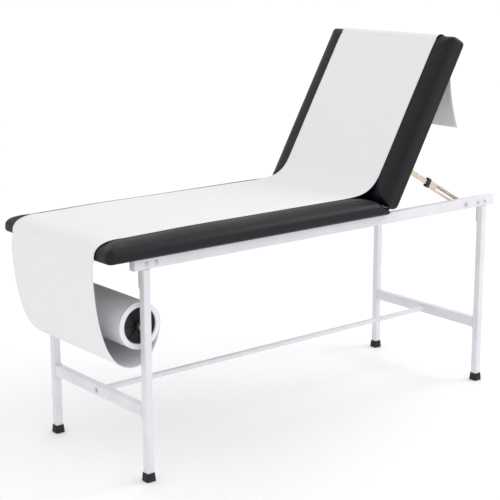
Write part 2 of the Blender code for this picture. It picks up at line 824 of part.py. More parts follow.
def make_struts(table):
    for side, sign in (("near", -1), ("far", 1)):
        line = empty(f"strut_pivot_{side}", (strut_pivot_x, sign * strut_y, bolt_z), table)
        # The strut is built pointing along +X from its pivot, then turned to point back and up.
        strut = empty(f"strut_{side}", (0, 0, 0), line)
        strut.rotation_euler = (0.0, math.pi + strut_tilt, 0.0)
        outer = rounded_rectangle(
            (-channel_thick / 2, -channel_height / 2), (channel_thick / 2, channel_height / 2),
            (small_round, small_round), 2,
        )
        inner = rounded_rectangle(
            (-channel_thick / 2 + channel_wall, -channel_height / 2 + channel_wall),
            (channel_thick / 2 - channel_wall, channel_height / 2 - channel_wall),
            (least_inner_round, least_inner_round), 2,
        )
        channel = solid(
            f"strut_channel_{side}", [hollow(outer, inner, "X", -channel_tail, channel_length)],
            zinc_yellow, strut,
        )
        # A pressed boss keeps the channel off the rail.
        face = sign * channel_thick / 2
        boss = [
            (boss_r, face - sign * channel_wall / 2),
            (boss_r, face + sign * (strut_from_rail - gap)),
            (bolt_r, face + sign * (strut_from_rail - gap)),
            (bolt_r, face - sign * channel_wall / 2),
        ]
        cut(channel, [turned(boss, 16)], f"channel_boss_{side}", "UNION")
        # Local Z points down once the strut is turned, so the teeth are cut on the local underside.
        window = [(x, -z) for x, z in rack_window()]
        cut(channel, [bar(window, "Y", -channel_thick, channel_thick)], f"rack_window_{side}")
        cut(
            channel, [rod(bolt_r + running, "Y", -channel_thick, channel_thick, 16)],
            f"channel_bore_{side}",
        )
        corner = small_round
        hole = rounded_rectangle(
            (-bar_thick / 2 - gap, -bar_height / 2 - gap), (bar_thick / 2 + gap, bar_height / 2 + gap),
            (gap, gap), 2,
        )
        sleeve = rounded_rectangle(
            (-channel_thick / 2 - gap, -channel_height / 2 - gap),
            (channel_thick / 2 + gap, channel_height / 2 + gap), (corner, corner), 2,
        )
        skin = rounded_rectangle(
            (-channel_thick / 2 - collar_wall, -channel_height / 2 - collar_wall),
            (channel_thick / 2 + collar_wall, channel_height / 2 + collar_wall),
            (collar_round, collar_round),
            2,
        )
        mouth = channel_length + gap
        rings = [
            (skin, channel_length - collar_sleeve),
            (skin, mouth + collar_lip),
            (hole, mouth + collar_lip),
            (hole, mouth),
            (sleeve, mouth),
            (sleeve, channel_length - collar_sleeve),
        ]
        solid(
            f"strut_collar_{side}", [([section(p, "X", at) for p, at in rings], True)],
            plastic_black, strut,
        )
        flat = rounded_rectangle(
            (strut_length - bar_reach, -bar_height / 2),
            (strut_length + bar_height / 2, bar_height / 2), (bar_corner, bar_height / 2 - neck_inset), 6,
        )
        flat_bar = solid(
            f"strut_bar_{side}", [bar(flat, "Y", -bar_thick / 2, bar_thick / 2)], zinc_yellow, strut
        )
        cut(
            flat_bar,
            [moved(rod(bolt_r + gap, "Y", -bar_thick, bar_thick), strut_length, 0, 0)],
            f"bar_eye_{side}",
        )
        # The turn of the strut leaves Y as it was, so outward stays sign.
        ear = strut_y - channel_thick / 2 - collar_wall - side_gap
        ear_outer = sign * (ear - strut_y)
        ear_inner = sign * (ear - bracket_thick - strut_y)
        bar_face = sign * bar_thick / 2
        step = sign * gap
        inner_face = ear_inner - step
        rings = [
            (pin_head_r * 0.75, bar_face + sign * pin_head),
            (pin_head_r, bar_face + sign * pin_head / 2),
            (pin_head_r, bar_face + step),
            (bolt_r, bar_face + step),
            (bolt_r, -bar_face - step),
            (pin_head_r, -bar_face - step),
            (pin_head_r, ear_outer + step),
            (bolt_r, ear_outer + step),
            (bolt_r, inner_face),
            (pin_washer_r, inner_face),
            (pin_washer_r, inner_face - sign * pin_washer),
        ]
        pin = [section(circle(r, 16), "Y", at) for r, at in rings]
        solid(f"strut_pin_{side}", [moved((pin, False), strut_length)], zinc, strut)
        shank = frame_width / 2 - strut_y + channel_thick / 2 + pivot_tail
        bolt = hex_bolt("Y", sign, frame_width / 2, shank)
        solid(
            f"strut_pivot_bolt_{side}", [moved(bolt, strut_pivot_x, 0, bolt_z)], zinc, table
        )


# ---------------------------------------------------------------- paper


def make_roll(table):
    spin = empty("roll_axis", (-leg_x, 0, roll_z), table)
    half = paper_width / 2
    solid(
        "paper_roll",
        [turned([(roll_r, -half), (roll_r, half), (roll_open_r, half), (roll_open_r, -half)], 40)],
        paper_white, spin,
    )
    core_outer = roll_open_r - gap
    core_inner = core_outer - core_wall
    tucked = half - side_gap
    solid(
        "roll_core",
        [
            turned(
                [(core_outer, -tucked), (core_outer, tucked), (core_inner, tucked), (core_inner, -tucked)],
                32,
            )
        ],
        card_brown, spin,
    )
    rim = core_inner - gap
    for side, sign in (("near", -1), ("far", 1)):
        face = half - hub_recess
        bore = axle_r + gap
        profile = [
            (bore, sign * (face + hub_boss_out)),
            (hub_boss_r, sign * (face + hub_boss_out)),
            (hub_boss_r, sign * face),
            (rim - hub_rim_wall, sign * face),
            (rim - hub_rim_wall, sign * (face + hub_rim_out)),
            (rim, sign * (face + hub_rim_out)),
            (rim, sign * (face - hub_rim)),
            (rim - hub_skirt_wall, sign * (face - hub_rim)),
            (rim - hub_skirt_wall, sign * (face - hub_web)),
            (bore, sign * (face - hub_web)),
        ]
        solid(f"roll_hub_{side}", [turned(profile, 28)], plastic_black, spin)
    reach = inner_y - gap - side_gap
    solid("roll_axle", [rod(axle_r, "Y", -reach, reach, 16)], zinc, spin)
    for side, sign in (("near", -1), ("far", 1)):
        profile = [
            (clip_r, sign * (inner_y - gap)),
            (clip_r, sign * (inner_y - clip_length)),
            (axle_r + running, sign * (inner_y - clip_length)),
            (axle_r + running, sign * (inner_y - gap)),
        ]
        solid(f"axle_clip_{side}", [turned(profile, 20, -leg_x, 0, roll_z)], zinc, table)


def make_paper(table, back):
    low = seat_top + sheet_lift
    sheet(
        "paper_seat", [(sheet_seat_from, low), (sheet_seat_to, low)], sheet_thick, paper_width,
        paper_white, table,
    )
    drop_top = (sheet_drop_x, seat_top - sheet_hang_from)
    over_edge = bezier(
        (sheet_seat_from - gap, low),
        (sheet_seat_from - sheet_fold_run, low),
        (sheet_drop_x, seat_top - sheet_fold_fall),
        drop_top,
        7,
    )
    bottom = (loop_bottom_x, loop_bottom_z)
    hang = bezier(
        drop_top, (sheet_drop_x + loop_lean, loop_pull_z), (loop_bottom_x - loop_foot_run, loop_bottom_z),
        bottom, 12,
    )
    up_x = roll_r + roll_paper_gap - leg_x
    rise = bezier(
        bottom, (loop_bottom_x + loop_head_run, loop_bottom_z), (up_x - loop_tuck, roll_z - loop_rise),
        (up_x, roll_z), 8,
    )
    # The path runs down from the seat, so its left is the loop's inside.
    path = over_edge + hang[1:] + rise[1:]
    path.reverse()
    sheet("paper_loop", path, sheet_thick, paper_width, paper_white, table)
    on_back = back_height + pad_crown + sheet_lift
    sheet(
        "paper_back",
        [(sheet_back_from, on_back), (back_length - back_top_round - sheet_top_short, on_back)],
        sheet_thick, paper_width, paper_white, back,
    )


def make_tail(table):
    """The paper's free end, hanging from the top of the back."""
    top_x = hinge_x + back_length * cos_a
    top_z = pad_z + back_length * sin_a
    line = empty("tail_line", (top_x + tail_off, 0, top_z), table)
    length = tail_length_z
    path = bezier(
        (0.0, -tail_gap),
        (-tail_sway, -length * tail_sway_share),
        (-tail_turn, -length * tail_turn_share),
        (tail_kick, -length),
        9,
    )
    sheet("paper_tail", path, sheet_thick, paper_width, paper_white, line)


table_origin = empty("table_origin", (shift_x, 0, 0))
back_line = empty("back_line", (hinge_x, 0, pad_z), table_origin, angle)
make_rails(table_origin)
make_legs(table_origin)
make_crossbars(table_origin)
make_leg_plates(table_origin)
make_seat(table_origin)
make_back(back_line)
make_hinges(table_origin, back_line)
make_brackets(back_line)
make_struts(table_origin)
make_roll(table_origin)
make_paper(table_origin, back_line)
make_tail(table_origin)
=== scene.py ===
"""The looks of a medical exam table: upholstered pads, paper, powder-coated tubes and their fittings.

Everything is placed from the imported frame's own boxes and joints. X runs from the foot to the head,
Y from the near side to the far side and Z up.
"""

import json
import math
import random

import bmesh
import bpy
from mathutils import Matrix, Vector
from mathutils.bvhtree import BVHTree


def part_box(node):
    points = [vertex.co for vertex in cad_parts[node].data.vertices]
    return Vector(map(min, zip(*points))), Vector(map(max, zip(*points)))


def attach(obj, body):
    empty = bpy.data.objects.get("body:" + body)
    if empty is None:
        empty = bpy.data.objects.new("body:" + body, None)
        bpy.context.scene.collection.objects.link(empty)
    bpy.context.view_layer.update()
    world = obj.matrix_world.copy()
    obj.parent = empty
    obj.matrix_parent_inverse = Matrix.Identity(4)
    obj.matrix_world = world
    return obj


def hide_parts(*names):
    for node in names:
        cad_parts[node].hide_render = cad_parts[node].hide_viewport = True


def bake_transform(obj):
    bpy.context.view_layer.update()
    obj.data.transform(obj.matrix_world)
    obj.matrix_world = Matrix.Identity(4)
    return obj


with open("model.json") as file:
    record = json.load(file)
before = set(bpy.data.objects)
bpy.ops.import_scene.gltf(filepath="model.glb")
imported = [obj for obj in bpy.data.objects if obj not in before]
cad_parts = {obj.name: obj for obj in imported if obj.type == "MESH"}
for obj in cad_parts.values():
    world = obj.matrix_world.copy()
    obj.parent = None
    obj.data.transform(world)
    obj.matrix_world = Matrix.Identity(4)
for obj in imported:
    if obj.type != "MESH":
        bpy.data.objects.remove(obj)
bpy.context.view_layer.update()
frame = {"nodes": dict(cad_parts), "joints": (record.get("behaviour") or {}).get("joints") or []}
mm = 0.001

# ---------------------------------------------------------------- places read from the frame


def corner_boxes(*names):
    """The lowest and highest corners of several nodes together."""
    boxes = [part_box(name) for name in names]
    low = Vector([min(box[0][i] for box in boxes) for i in range(3)])
    high = Vector([max(box[1][i] for box in boxes) for i in range(3)])
    return low, high


def joint(name):
    return next(j for j in frame["joints"] if j["name"] == name)


def middle(node):
    low, high = corner_boxes(node)
    return (low + high) / 2


legs_low, legs_high = corner_boxes("leg_foot_near", "leg_foot_far", "leg_head_near", "leg_head_far")
table_x = (legs_low.x + legs_high.x) / 2
hinge = Vector(joint("backrest_tilt")["pos_m"])
back_angle = -math.radians(joint("backrest_tilt")["range_deg"][0])
back_frame = Matrix.Translation(hinge) @ Matrix.Rotation(-back_angle, 4, "Y")
roll_middle = Vector(joint("roll_spin")["pos_m"])
seat_low, seat_high = corner_boxes("seat_cover")
roll_low, roll_high = corner_boxes("paper_roll")
rail_low = corner_boxes("side_rail_near")[0]
seat_frame = Matrix.Translation((hinge.x, 0, seat_low.z))

# Sizes of the soft pieces, the same as the solids they stand for
pad_half_width = (seat_high.y - seat_low.y) / 2
seat_height, seat_run, seat_rise = 59 * mm, 66 * mm, 34 * mm
back_height, back_round = 69 * mm, 28 * mm
pad_crown = 3.0 * mm
crown_run = 110 * mm
channel_thick = 10 * mm
back_length = 640 * mm
back_start = 6 * mm
seat_length = hinge.x - seat_low.x
vinyl_thick = 1.2 * mm
vinyl_turn = 40 * mm
paper_half_width = (roll_high.y - roll_low.y) / 2
paper_thick = 0.35 * mm
paper_lift = 0.9 * mm
end_lift = paper_lift + 0.3 * mm  # the paper's distance from the back's end face
seam_height = 22 * mm  # where the sheet ends and the free end starts, over the back's underside
paper_step, paper_columns = 4 * mm, 40
seat_corners, back_corners = (24 * mm, 26 * mm), (24 * mm, 18 * mm)
bottom_inset, bottom_rise = 10 * mm, 20 * mm
roll_radius = (roll_high.z - roll_low.z) / 2
roll_open_radius = 57.2 * mm

# ---------------------------------------------------------------- small tools


def linear(hex_colour):
    """An sRGB hex value as linear red, green, blue and alpha."""
    values = []
    for i in (0, 2, 4):
        c = int(hex_colour[i : i + 2], 16) / 255
        values.append(c / 12.92 if c <= 0.04045 else ((c + 0.055) / 1.055) ** 2.4)
    return (*values, 1.0)


def add(tree, kind, inputs=None, **settings):
    """One node with its settings. An input takes a value or another node's output."""
    made = tree.nodes.new(kind)
    for key, value in settings.items():
        setattr(made, key, value)
    for key, value in (inputs or {}).items():
        if isinstance(value, bpy.types.NodeSocket):
            tree.links.new(value, made.inputs[key])
        else:
            made.inputs[key].default_value = value
    return made


def new_object(name, mesh, material=None):
    made = bpy.data.objects.new(name, mesh)
    bpy.context.collection.objects.link(made)
    if material:
        mesh.materials.append(material)
    return made


def mesh_from(name, points, faces, recalculate=True):
    work = bmesh.new()
    verts = [work.verts.new(p) for p in points]
    for face in faces:
        work.faces.new([verts[i] for i in face])
    bmesh.ops.remove_doubles(work, verts=work.verts, dist=1e-6)
    if recalculate:
        bmesh.ops.recalc_face_normals(work, faces=work.faces)
    mesh = bpy.data.meshes.new(name)
    work.to_mesh(mesh)
    work.free()
    return mesh


def smooth(piece, angle=40):
    piece.data.shade_smooth()
    piece.data.set_sharp_from_angle(angle=math.radians(angle))
    return piece


def settle(piece):
    """Turns what the modifiers make into the piece's own mesh."""
    bpy.context.view_layer.update()
    depsgraph = bpy.context.evaluated_depsgraph_get()
    evaluated = piece.evaluated_get(depsgraph)
    mesh = bpy.data.meshes.new_from_object(evaluated, depsgraph=depsgraph)
    piece.modifiers.clear()
    piece.data = mesh
    return piece


def modify(piece, kind, **settings):
    change = piece.modifiers.new(kind.title(), kind)
    for key, value in settings.items():
        setattr(change, key, value)
    return change


def ring_mesh(name, rings, closed=False):
    """Skins sections of equal count. An open skin is capped at both ends."""
    count = len(rings[0])
    points = [p for ring in rings for p in ring]
    faces = []
    last = len(rings) if closed else len(rings) - 1
    for k in range(last):
        a, b = k * count, (k + 1) % len(rings) * count
        faces += [(a + i, a + (i + 1) % count, b + (i + 1) % count, b + i) for i in range(count)]
    if not closed:
        faces += [tuple(range(count)), tuple(reversed(range(len(points) - count, len(points))))]
    return mesh_from(name, points, faces)


def turned_about_y(name, profile, count, closed=True):
    """A lathe piece from (radius, y) points, round the Y axis."""
    rings = [
        [
            Vector((r * math.cos(2 * math.pi * i / count), y, r * math.sin(2 * math.pi * i / count)))
            for i in range(count)
        ]
        for r, y in profile
    ]
    return ring_mesh(name, rings, closed)


def circle(r, z, count=24):
    """A round section at a height."""
    turns = [2 * math.pi * i / count for i in range(count)]
    return [Vector((r * math.cos(a), r * math.sin(a), z)) for a in turns]


def hexagon(r, z, count=24):
    """A six-sided section with a circle's count of points. r reaches to its corners."""
    ring = []
    for i in range(count):
        a = 2 * math.pi * i / count
        inside = (a + math.pi / 6) % (math.pi / 3) - math.pi / 6
        d = r * math.cos(math.pi / 6) / math.cos(inside)
        ring.append(Vector((d * math.cos(a), d * math.sin(a), z)))
    return ring


def eased(t):
    t = max(0.0, min(1.0, t))
    return t * t * (3 - 2 * t)


def bezier(p0, p1, p2, p3, steps):
    points = []
    for i in range(steps + 1):
        t = i / steps
        u = 1 - t
        weights = (u**3, 3 * u * u * t, 3 * u * t * t, t**3)
        points.append(sum((w * Vector(p) for w, p in zip(weights, (p0, p1, p2, p3))), Vector((0, 0))))
    return points


# ---------------------------------------------------------------- materials


def material(name, colour, roughness, metallic=0.0, **sockets):
    made = bpy.data.materials.new(name)
    made.use_nodes = True
    tree = made.node_tree
    shader = tree.nodes["Principled BSDF"]
    shader.inputs["Base Color"].default_value = linear(colour)
    shader.inputs["Roughness"].default_value = roughness
    shader.inputs["Metallic"].default_value = metallic
    for key, value in sockets.items():
        shader.inputs[key.replace("_", " ")].default_value = value
    place = add(tree, "ShaderNodeTexCoord").outputs["Object"]
    return made, tree, shader, place


def bump(tree, shader, height, distance, strength=1.0, under=None):
    """Adds relief of a real depth. under is relief that this one lies on."""
    inputs = {"Height": height, "Distance": distance, "Strength": strength}
    if under:
        inputs["Normal"] = under
    made = add(tree, "ShaderNodeBump", inputs)
    tree.links.new(made.outputs["Normal"], shader.inputs["Normal"])
    return made.outputs["Normal"]


def noise(tree, place, size, detail=2.0, roughness=0.5):
    """Noise whose cells are about this many metres across."""
    return add(
        tree,
        "ShaderNodeTexNoise",
        {"Vector": place, "Scale": 1 / size, "Detail": detail, "Roughness": roughness},
    ).outputs["Fac"]


def ramp(tree, value, low, high, to_low, to_high):
    """A value moved from one range to another, kept inside it."""
    return add(
        tree,
        "ShaderNodeMapRange",
        {"Value": value, "From Min": low, "From Max": high, "To Min": to_low, "To Max": to_high},
    ).outputs["Result"]


def mix_colours(tree, factor, first, second):
    made = add(tree, "ShaderNodeMix", data_type="RGBA")
    tree.links.new(factor, made.inputs[0])
    for socket, value in ((made.inputs[6], first), (made.inputs[7], second)):
        if isinstance(value, str):
            socket.default_value = linear(value)
        else:
            tree.links.new(value, socket)
    return made.outputs[2]


def powder_coated_steel():
    """Polyester powder baked on steel: an even satin white with a faint orange-peel ripple."""
    made, tree, shader, place = material("powder_coat_white", "e2e2e7", 0.36)
    peel = noise(tree, place, 2.2 * mm, 1.5)
    bump(tree, shader, peel, 0.05 * mm, 0.7)
    haze = noise(tree, place, 60 * mm, 3.0)
    colour = mix_colours(tree, ramp(tree, haze, 0.35, 0.65, 0.0, 1.0), "dfdfe5", "e6e6ea")
    tree.links.new(colour, shader.inputs["Base Color"])
    tree.links.new(ramp(tree, haze, 0.3, 0.7, 0.32, 0.42), shader.inputs["Roughness"])
    return made


def grained_vinyl():
    """PVC upholstery on a knit back: black, satin, pressed with a pebble grain of about 1.5 mm, with
    painted shade in the grain's grooves.
    """
    made, tree, shader, place = material("vinyl_black", "121017", 0.38, Specular_IOR_Level=0.27)
    warp = noise(tree, place, 9 * mm, 2.0)
    pushed = add(tree, "ShaderNodeMath", {0: warp, 1: 3.0 * mm}, operation="MULTIPLY").outputs[0]
    shifted = add(tree, "ShaderNodeVectorMath", {0: place, 1: pushed}, operation="ADD")
    grain = add(
        tree,
        "ShaderNodeTexVoronoi",
        {"Vector": shifted.outputs[0], "Scale": 1 / (1.8 * mm)},
        feature="DISTANCE_TO_EDGE",
    ).outputs["Distance"]
    pebble = ramp(tree, grain, 0.0, 0.22, 0.0, 1.0)
    soft = bump(tree, shader, noise(tree, place, 35 * mm, 2.0), 1.2 * mm, 0.35)
    bump(tree, shader, pebble, 0.16 * mm, 0.55, soft)
    wear = noise(tree, place, 90 * mm, 4.0, 0.6)
    tone = mix_colours(tree, ramp(tree, wear, 0.35, 0.7, 0.0, 1.0), "110f17", "17151e")
    # The grain's grooves are coloured darker than its tops: painted shade in the recesses.
    deep = mix_colours(tree, pebble, "0c0a10", tone)
    tree.links.new(deep, shader.inputs["Base Color"])
    tree.links.new(ramp(tree, wear, 0.3, 0.7, 0.36, 0.46), shader.inputs["Roughness"])
    return made


def creped_paper():
    """Couch-roll tissue: matt white, creped across its length about every 1.5 mm, with soft clouds."""
    made, tree, shader, place = material("paper_tissue", "f0f0f2", 0.92)
    path = add(tree, "ShaderNodeAttribute", attribute_name="along").outputs["Fac"]
    across = add(tree, "ShaderNodeSeparateXYZ", {"Vector": place}).outputs["Y"]
    flat = add(tree, "ShaderNodeCombineXYZ", {"X": path, "Y": across}).outputs["Vector"]
    stretched = add(
        tree, "ShaderNodeVectorMath", {0: flat, 1: (1.0, 0.22, 1.0)}, operation="MULTIPLY"
    ).outputs[0]
    crepe = noise(tree, stretched, 1.6 * mm, 2.0, 0.55)
    fibre = noise(tree, place, 0.9 * mm, 1.0)
    clouds = noise(tree, flat, 28 * mm, 3.0, 0.6)
    low = bump(tree, shader, clouds, 0.4 * mm, 0.12)
    bump(tree, shader, crepe, 0.08 * mm, 0.35, low)
    tone = mix_colours(tree, ramp(tree, clouds, 0.3, 0.7, 0.0, 1.0), "eeeef0", "f1f1f3")
    tree.links.new(
        mix_colours(tree, ramp(tree, fibre, 0.3, 0.75, 0.0, 0.35), tone, "e6e6ea"),
        shader.inputs["Base Color"],
    )
    return made


def wound_paper():
    """The roll's own paper: creped round its outside, and hundreds of layer edges on its ends, darker
    between the layers as painted shade.
    """
    made, tree, shader, place = material("paper_wound", "f0f0f1", 0.92)
    centred = add(
        tree, "ShaderNodeVectorMath", {0: place, 1: roll_middle}, operation="SUBTRACT"
    ).outputs[0]
    flat = add(
        tree, "ShaderNodeVectorMath", {0: centred, 1: (1.0, 0.0, 1.0)}, operation="MULTIPLY"
    ).outputs[0]
    radius = add(tree, "ShaderNodeVectorMath", {0: flat}, operation="LENGTH").outputs["Value"]
    layers = add(tree, "ShaderNodeCombineXYZ", {"X": radius}).outputs["Vector"]
    # Real layers are under 0.1 mm apart; these are drawn 0.7 mm apart so that they can be seen.
    edges = noise(tree, layers, 0.7 * mm, 3.0, 0.7)
    fibre = noise(tree, place, 1.4 * mm, 2.0)
    under = bump(tree, shader, edges, 0.35 * mm, 0.8)
    bump(tree, shader, fibre, 0.10 * mm, 0.4, under)
    # Darker where the layer relief is low: painted shade in the gaps between layers.
    tone = mix_colours(tree, ramp(tree, edges, 0.3, 0.7, 0.0, 1.0), "e8e8ec", "fafafb")
    tree.links.new(tone, shader.inputs["Base Color"])
    return made


def moulded_rubber():
    """Black rubber caps: matt, slightly dusty, with a fine moulded tooth."""
    made, tree, shader, place = material("rubber_black", "161617", 0.70)
    bump(tree, shader, noise(tree, place, 0.8 * mm, 2.0), 0.06 * mm, 0.6)
    dust = noise(tree, place, 14 * mm, 4.0, 0.65)
    tone = mix_colours(tree, ramp(tree, dust, 0.5, 0.8, 0.0, 0.6), "131314", "242424")
    tree.links.new(tone, shader.inputs["Base Color"])
    return made


def plated_steel(name, dark, light, low_rough, high_rough):
    """Zinc-plated steel: metal with small crystalline patches that vary its gloss and tone."""
    made, tree, shader, place = material(name, light, low_rough, 1.0)
    spangle = add(
        tree, "ShaderNodeTexVoronoi", {"Vector": place, "Scale": 1 / (3.5 * mm)}
    ).outputs["Color"]
    patch = add(tree, "ShaderNodeSeparateColor", {"Color": spangle}).outputs["Red"]
    haze = noise(tree, place, 8 * mm, 4.0, 0.6)
    both = add(tree, "ShaderNodeMath", {0: patch, 1: haze}, operation="MULTIPLY").outputs[0]
    tone = mix_colours(tree, ramp(tree, both, 0.1, 0.6, 0.0, 1.0), dark, light)
    tree.links.new(tone, shader.inputs["Base Color"])
    tree.links.new(ramp(tree, haze, 0.3, 0.7, low_rough, high_rough), shader.inputs["Roughness"])
    bump(tree, shader, noise(tree, place, 0.7 * mm, 2.0), 0.02 * mm, 0.5)
    return made


def moulded_plastic(name, colour, roughness):
    """Injection-moulded plastic with a spark-eroded texture about half a millimetre across."""
    made, tree, shader, place = material(name, colour, roughness)
    bump(tree, shader, noise(tree, place, 0.9 * mm, 2.0), 0.03 * mm, 0.6)
    haze = noise(tree, place, 20 * mm, 3.0)
    tree.links.new(
        ramp(tree, haze, 0.3, 0.7, roughness - 0.05, roughness + 0.08), shader.inputs["Roughness"]
    )
    return made


def filmed_plywood():
    """Film-faced birch plywood: a dark resin film through which the long grain just shows."""
    made, tree, shader, place = material("plywood_filmed", "3a3836", 0.48)
    drawn = add(
        tree, "ShaderNodeVectorMath", {0: place, 1: (0.06, 1.0, 1.0)}, operation="MULTIPLY"
    ).outputs[0]
    grain = noise(tree, drawn, 7 * mm, 5.0, 0.6)
    fine = noise(tree, drawn, 1.2 * mm, 3.0, 0.7)
    tone = mix_colours(tree, ramp(tree, grain, 0.3, 0.7, 0.0, 1.0), "302e2c", "3e3c3a")
    tree.links.new(
        mix_colours(tree, ramp(tree, fine, 0.55, 0.8, 0.0, 0.5), tone, "262422"),
        shader.inputs["Base Color"],
    )
    bump(tree, shader, fine, 0.08 * mm, 0.5)
    return made


def wound_card():
    """Spiral-wound grey card."""
    made, tree, shader, place = material("card_grey", "b4b1ad", 0.85)
    flecks = noise(tree, place, 1.5 * mm, 3.0, 0.7)
    tone = mix_colours(tree, ramp(tree, flecks, 0.35, 0.7, 0.0, 1.0), "a3a09c", "c4c1bd")
    tree.links.new(tone, shader.inputs["Base Color"])
    bump(tree, shader, flecks, 0.08 * mm, 0.6)
    return made


def cut_foam():
    """Polyurethane foam: pale yellow, open cells under a millimetre across, the cells darker as painted
    shade in the pores.
    """
    made, tree, shader, place = material("foam_pale", "d9cfae", 0.95)
    cells = noise(tree, place, 0.9 * mm, 2.0, 0.7)
    bump(tree, shader, cells, 0.3 * mm, 0.8)
    # Darker where the cell relief is low: painted shade in the pores.
    tone = mix_colours(tree, ramp(tree, cells, 0.3, 0.7, 0.0, 1.0), "c9bf9c", "e0d8bc")
    tree.links.new(tone, shader.inputs["Base Color"])
    return made


coat = powder_coated_steel()
vinyl = grained_vinyl()
paper = creped_paper()
paper_roll_finish = wound_paper()
rubber = moulded_rubber()
bright_zinc = plated_steel("zinc_bright", "c2c4c9", "ecedf0", 0.30, 0.44)
beige_zinc = plated_steel("zinc_yellow_passivated", "d3c2b4", "f0e3d8", 0.40, 0.54)
black_plastic = moulded_plastic("plastic_black", "131315", 0.42)
white_plastic = moulded_plastic("plastic_white", "e4e4e8", 0.45)
plywood = filmed_plywood()
card = wound_card()
foam = cut_foam()

node_finishes = (
    (("leg_foot", "leg_head", "leg_plate", "side_rail", "crossbar", "stretcher", "cross_tube"), coat),
    (("rail_plug",), white_plastic),
    (("rubber_foot",), rubber),
    (("stretcher_bolt", "hinge_", "strut_pin", "strut_pivot_bolt", "axle_clip", "roll_axle"), bright_zinc),
    (("strut_channel", "strut_bar", "strut_bracket"), beige_zinc),
    (("strut_collar",), black_plastic),
    (("seat_board", "back_board"), plywood),
    (("roll_core",), card),
)


def finish_cad_nodes():
    for starts, finish in node_finishes:
        for name, piece in frame["nodes"].items():
            if name.startswith(starts):
                piece.data.materials.clear()
                piece.data.materials.append(finish)


# ---------------------------------------------------------------- pads


def pad_outline(start, end, half, corner_start, corner_end, steps):
    """A plan outline with round corners, as (x, y) points."""
    points = []
    corners = (
        (end, half, corner_end, 0.0),
        (start, half, corner_start, 0.5),
        (start, -half, corner_start, 1.0),
        (end, -half, corner_end, 1.5),
    )
    for x, y, radius, turn in corners:
        cx = x - math.copysign(radius, x - (start + end) / 2)
        cy = y - math.copysign(radius, y)
        for i in range(steps + 1):
            a = math.pi * (turn + 0.5 * i / steps)
            points.append((cx + radius * math.cos(a), cy + radius * math.sin(a)))
    return points


def pad_levels(height, run, rise):
    """(inset, height) from the underside's edge, up the side, over the top and in to the crown."""
    levels = []
    for i in range(7):
        a = math.pi / 2 * (1 - i / 6)
        levels.append((bottom_inset * (1 - math.cos(a)), bottom_rise * (1 - math.sin(a))))
    shoulder = height - rise
    for i in range(1, 5):
        levels.append((0.0, bottom_rise + (shoulder - bottom_rise) * i / 5))
    for i in range(11):
        a = math.pi / 2 * i / 10
        levels.append((run * (1 - math.cos(a)), shoulder + rise * math.sin(a)))
    for i in range(1, 6):
        share = i / 5
        levels.append((run + crown_run * share, height + pad_crown * math.sin(math.pi / 2 * share)))
    return levels


def seat_end(height):
    """The seat's head end, hollowed under the raised back's lower end, from the hinge line."""
    gap = 3.4 * mm
    cos_a, sin_a = math.cos(back_angle), math.sin(back_angle)
    upright = (back_start + back_round) * cos_a - (back_height - back_round) * sin_a
    upright -= back_round + gap
    slope = (back_start - gap) / cos_a - height * math.tan(back_angle)
    return max(upright, min(-8 * mm, slope))


def pad_body(name, start, end, corners, sizes, shrink):
    """A closed pad, a little smaller all round than it will be once it has swelled."""
    rings = []
    height, run, rise = sizes
    for inset, z in pad_levels(height - shrink, run, rise):
        inset += shrink
        radii = [max(c - inset, 4 * mm) for c in corners]
        outline = pad_outline(start + inset, end(z) - inset, pad_half_width - inset, *radii, 10)
        rings.append([Vector((x, y, z)) for x, y in outline])
    return new_object(name, ring_mesh(name, rings))


def swell(piece, voxel, cap):
    """Cloth under pressure, as foam fills its cover. The underside is held by the board."""
    modify(piece, "REMESH", mode="VOXEL", voxel_size=voxel)
    settle(piece)
    start = [v.co.copy() for v in piece.data.vertices]
    held_below, pressure, stretch, bending, frames = 12 * mm, 4.0, 20.0, 2.0, 20
    held = piece.vertex_groups.new(name="held")
    held.add([i for i, p in enumerate(start) if p.z < held_below], 1.0, "REPLACE")
    cloth = piece.modifiers.new("Cloth", "CLOTH")
    cloth.settings.use_pressure = True
    cloth.settings.uniform_pressure_force = pressure
    cloth.settings.vertex_group_mass = "held"
    cloth.settings.tension_stiffness = stretch
    cloth.settings.compression_stiffness = stretch
    cloth.settings.bending_stiffness = bending
    cloth.settings.effector_weights.gravity = 0.0
    scene = bpy.context.scene
    for number in range(1, frames + 1):
        scene.frame_set(number)
    settle(piece)
    for vertex, was in zip(piece.data.vertices, start):
        step = vertex.co - was
        if step.length > cap:
            vertex.co = was + step * (cap / step.length)
    scene.frame_set(1)
    piece.vertex_groups.clear()


def corner_tucks(piece, start, end, corners):
    """Small gathers where the cover is pulled round a plan corner and under the board."""
    reach_up, folds, deepest = 46 * mm, 7, 0.9 * mm
    for vertex in piece.data.vertices:
        p = vertex.co
        near_end = p.x > (start + end) / 2
        radius = corners[1] if near_end else corners[0]
        cx = end - radius if near_end else start + radius
        cy = math.copysign(pad_half_width - radius, p.y)
        dx, dy = abs(p.x - cx), abs(p.y) - abs(cy)
        outside = (p.x > cx) if near_end else (p.x < cx)
        if not outside or dy < 0 or p.z > reach_up:
            continue
        turn = math.atan2(dy, dx) / (math.pi / 2)
        gather = math.sin(turn * math.pi * folds) * math.sin(turn * math.pi)
        low = 1 - eased(p.z / reach_up)
        depth = deepest * gather * low
        run = math.hypot(dx, dy)
        if run > 4 * mm:
            p.x += math.copysign(depth * dx / run, p.x - cx)
            p.y += math.copysign(depth * dy / run, p.y)


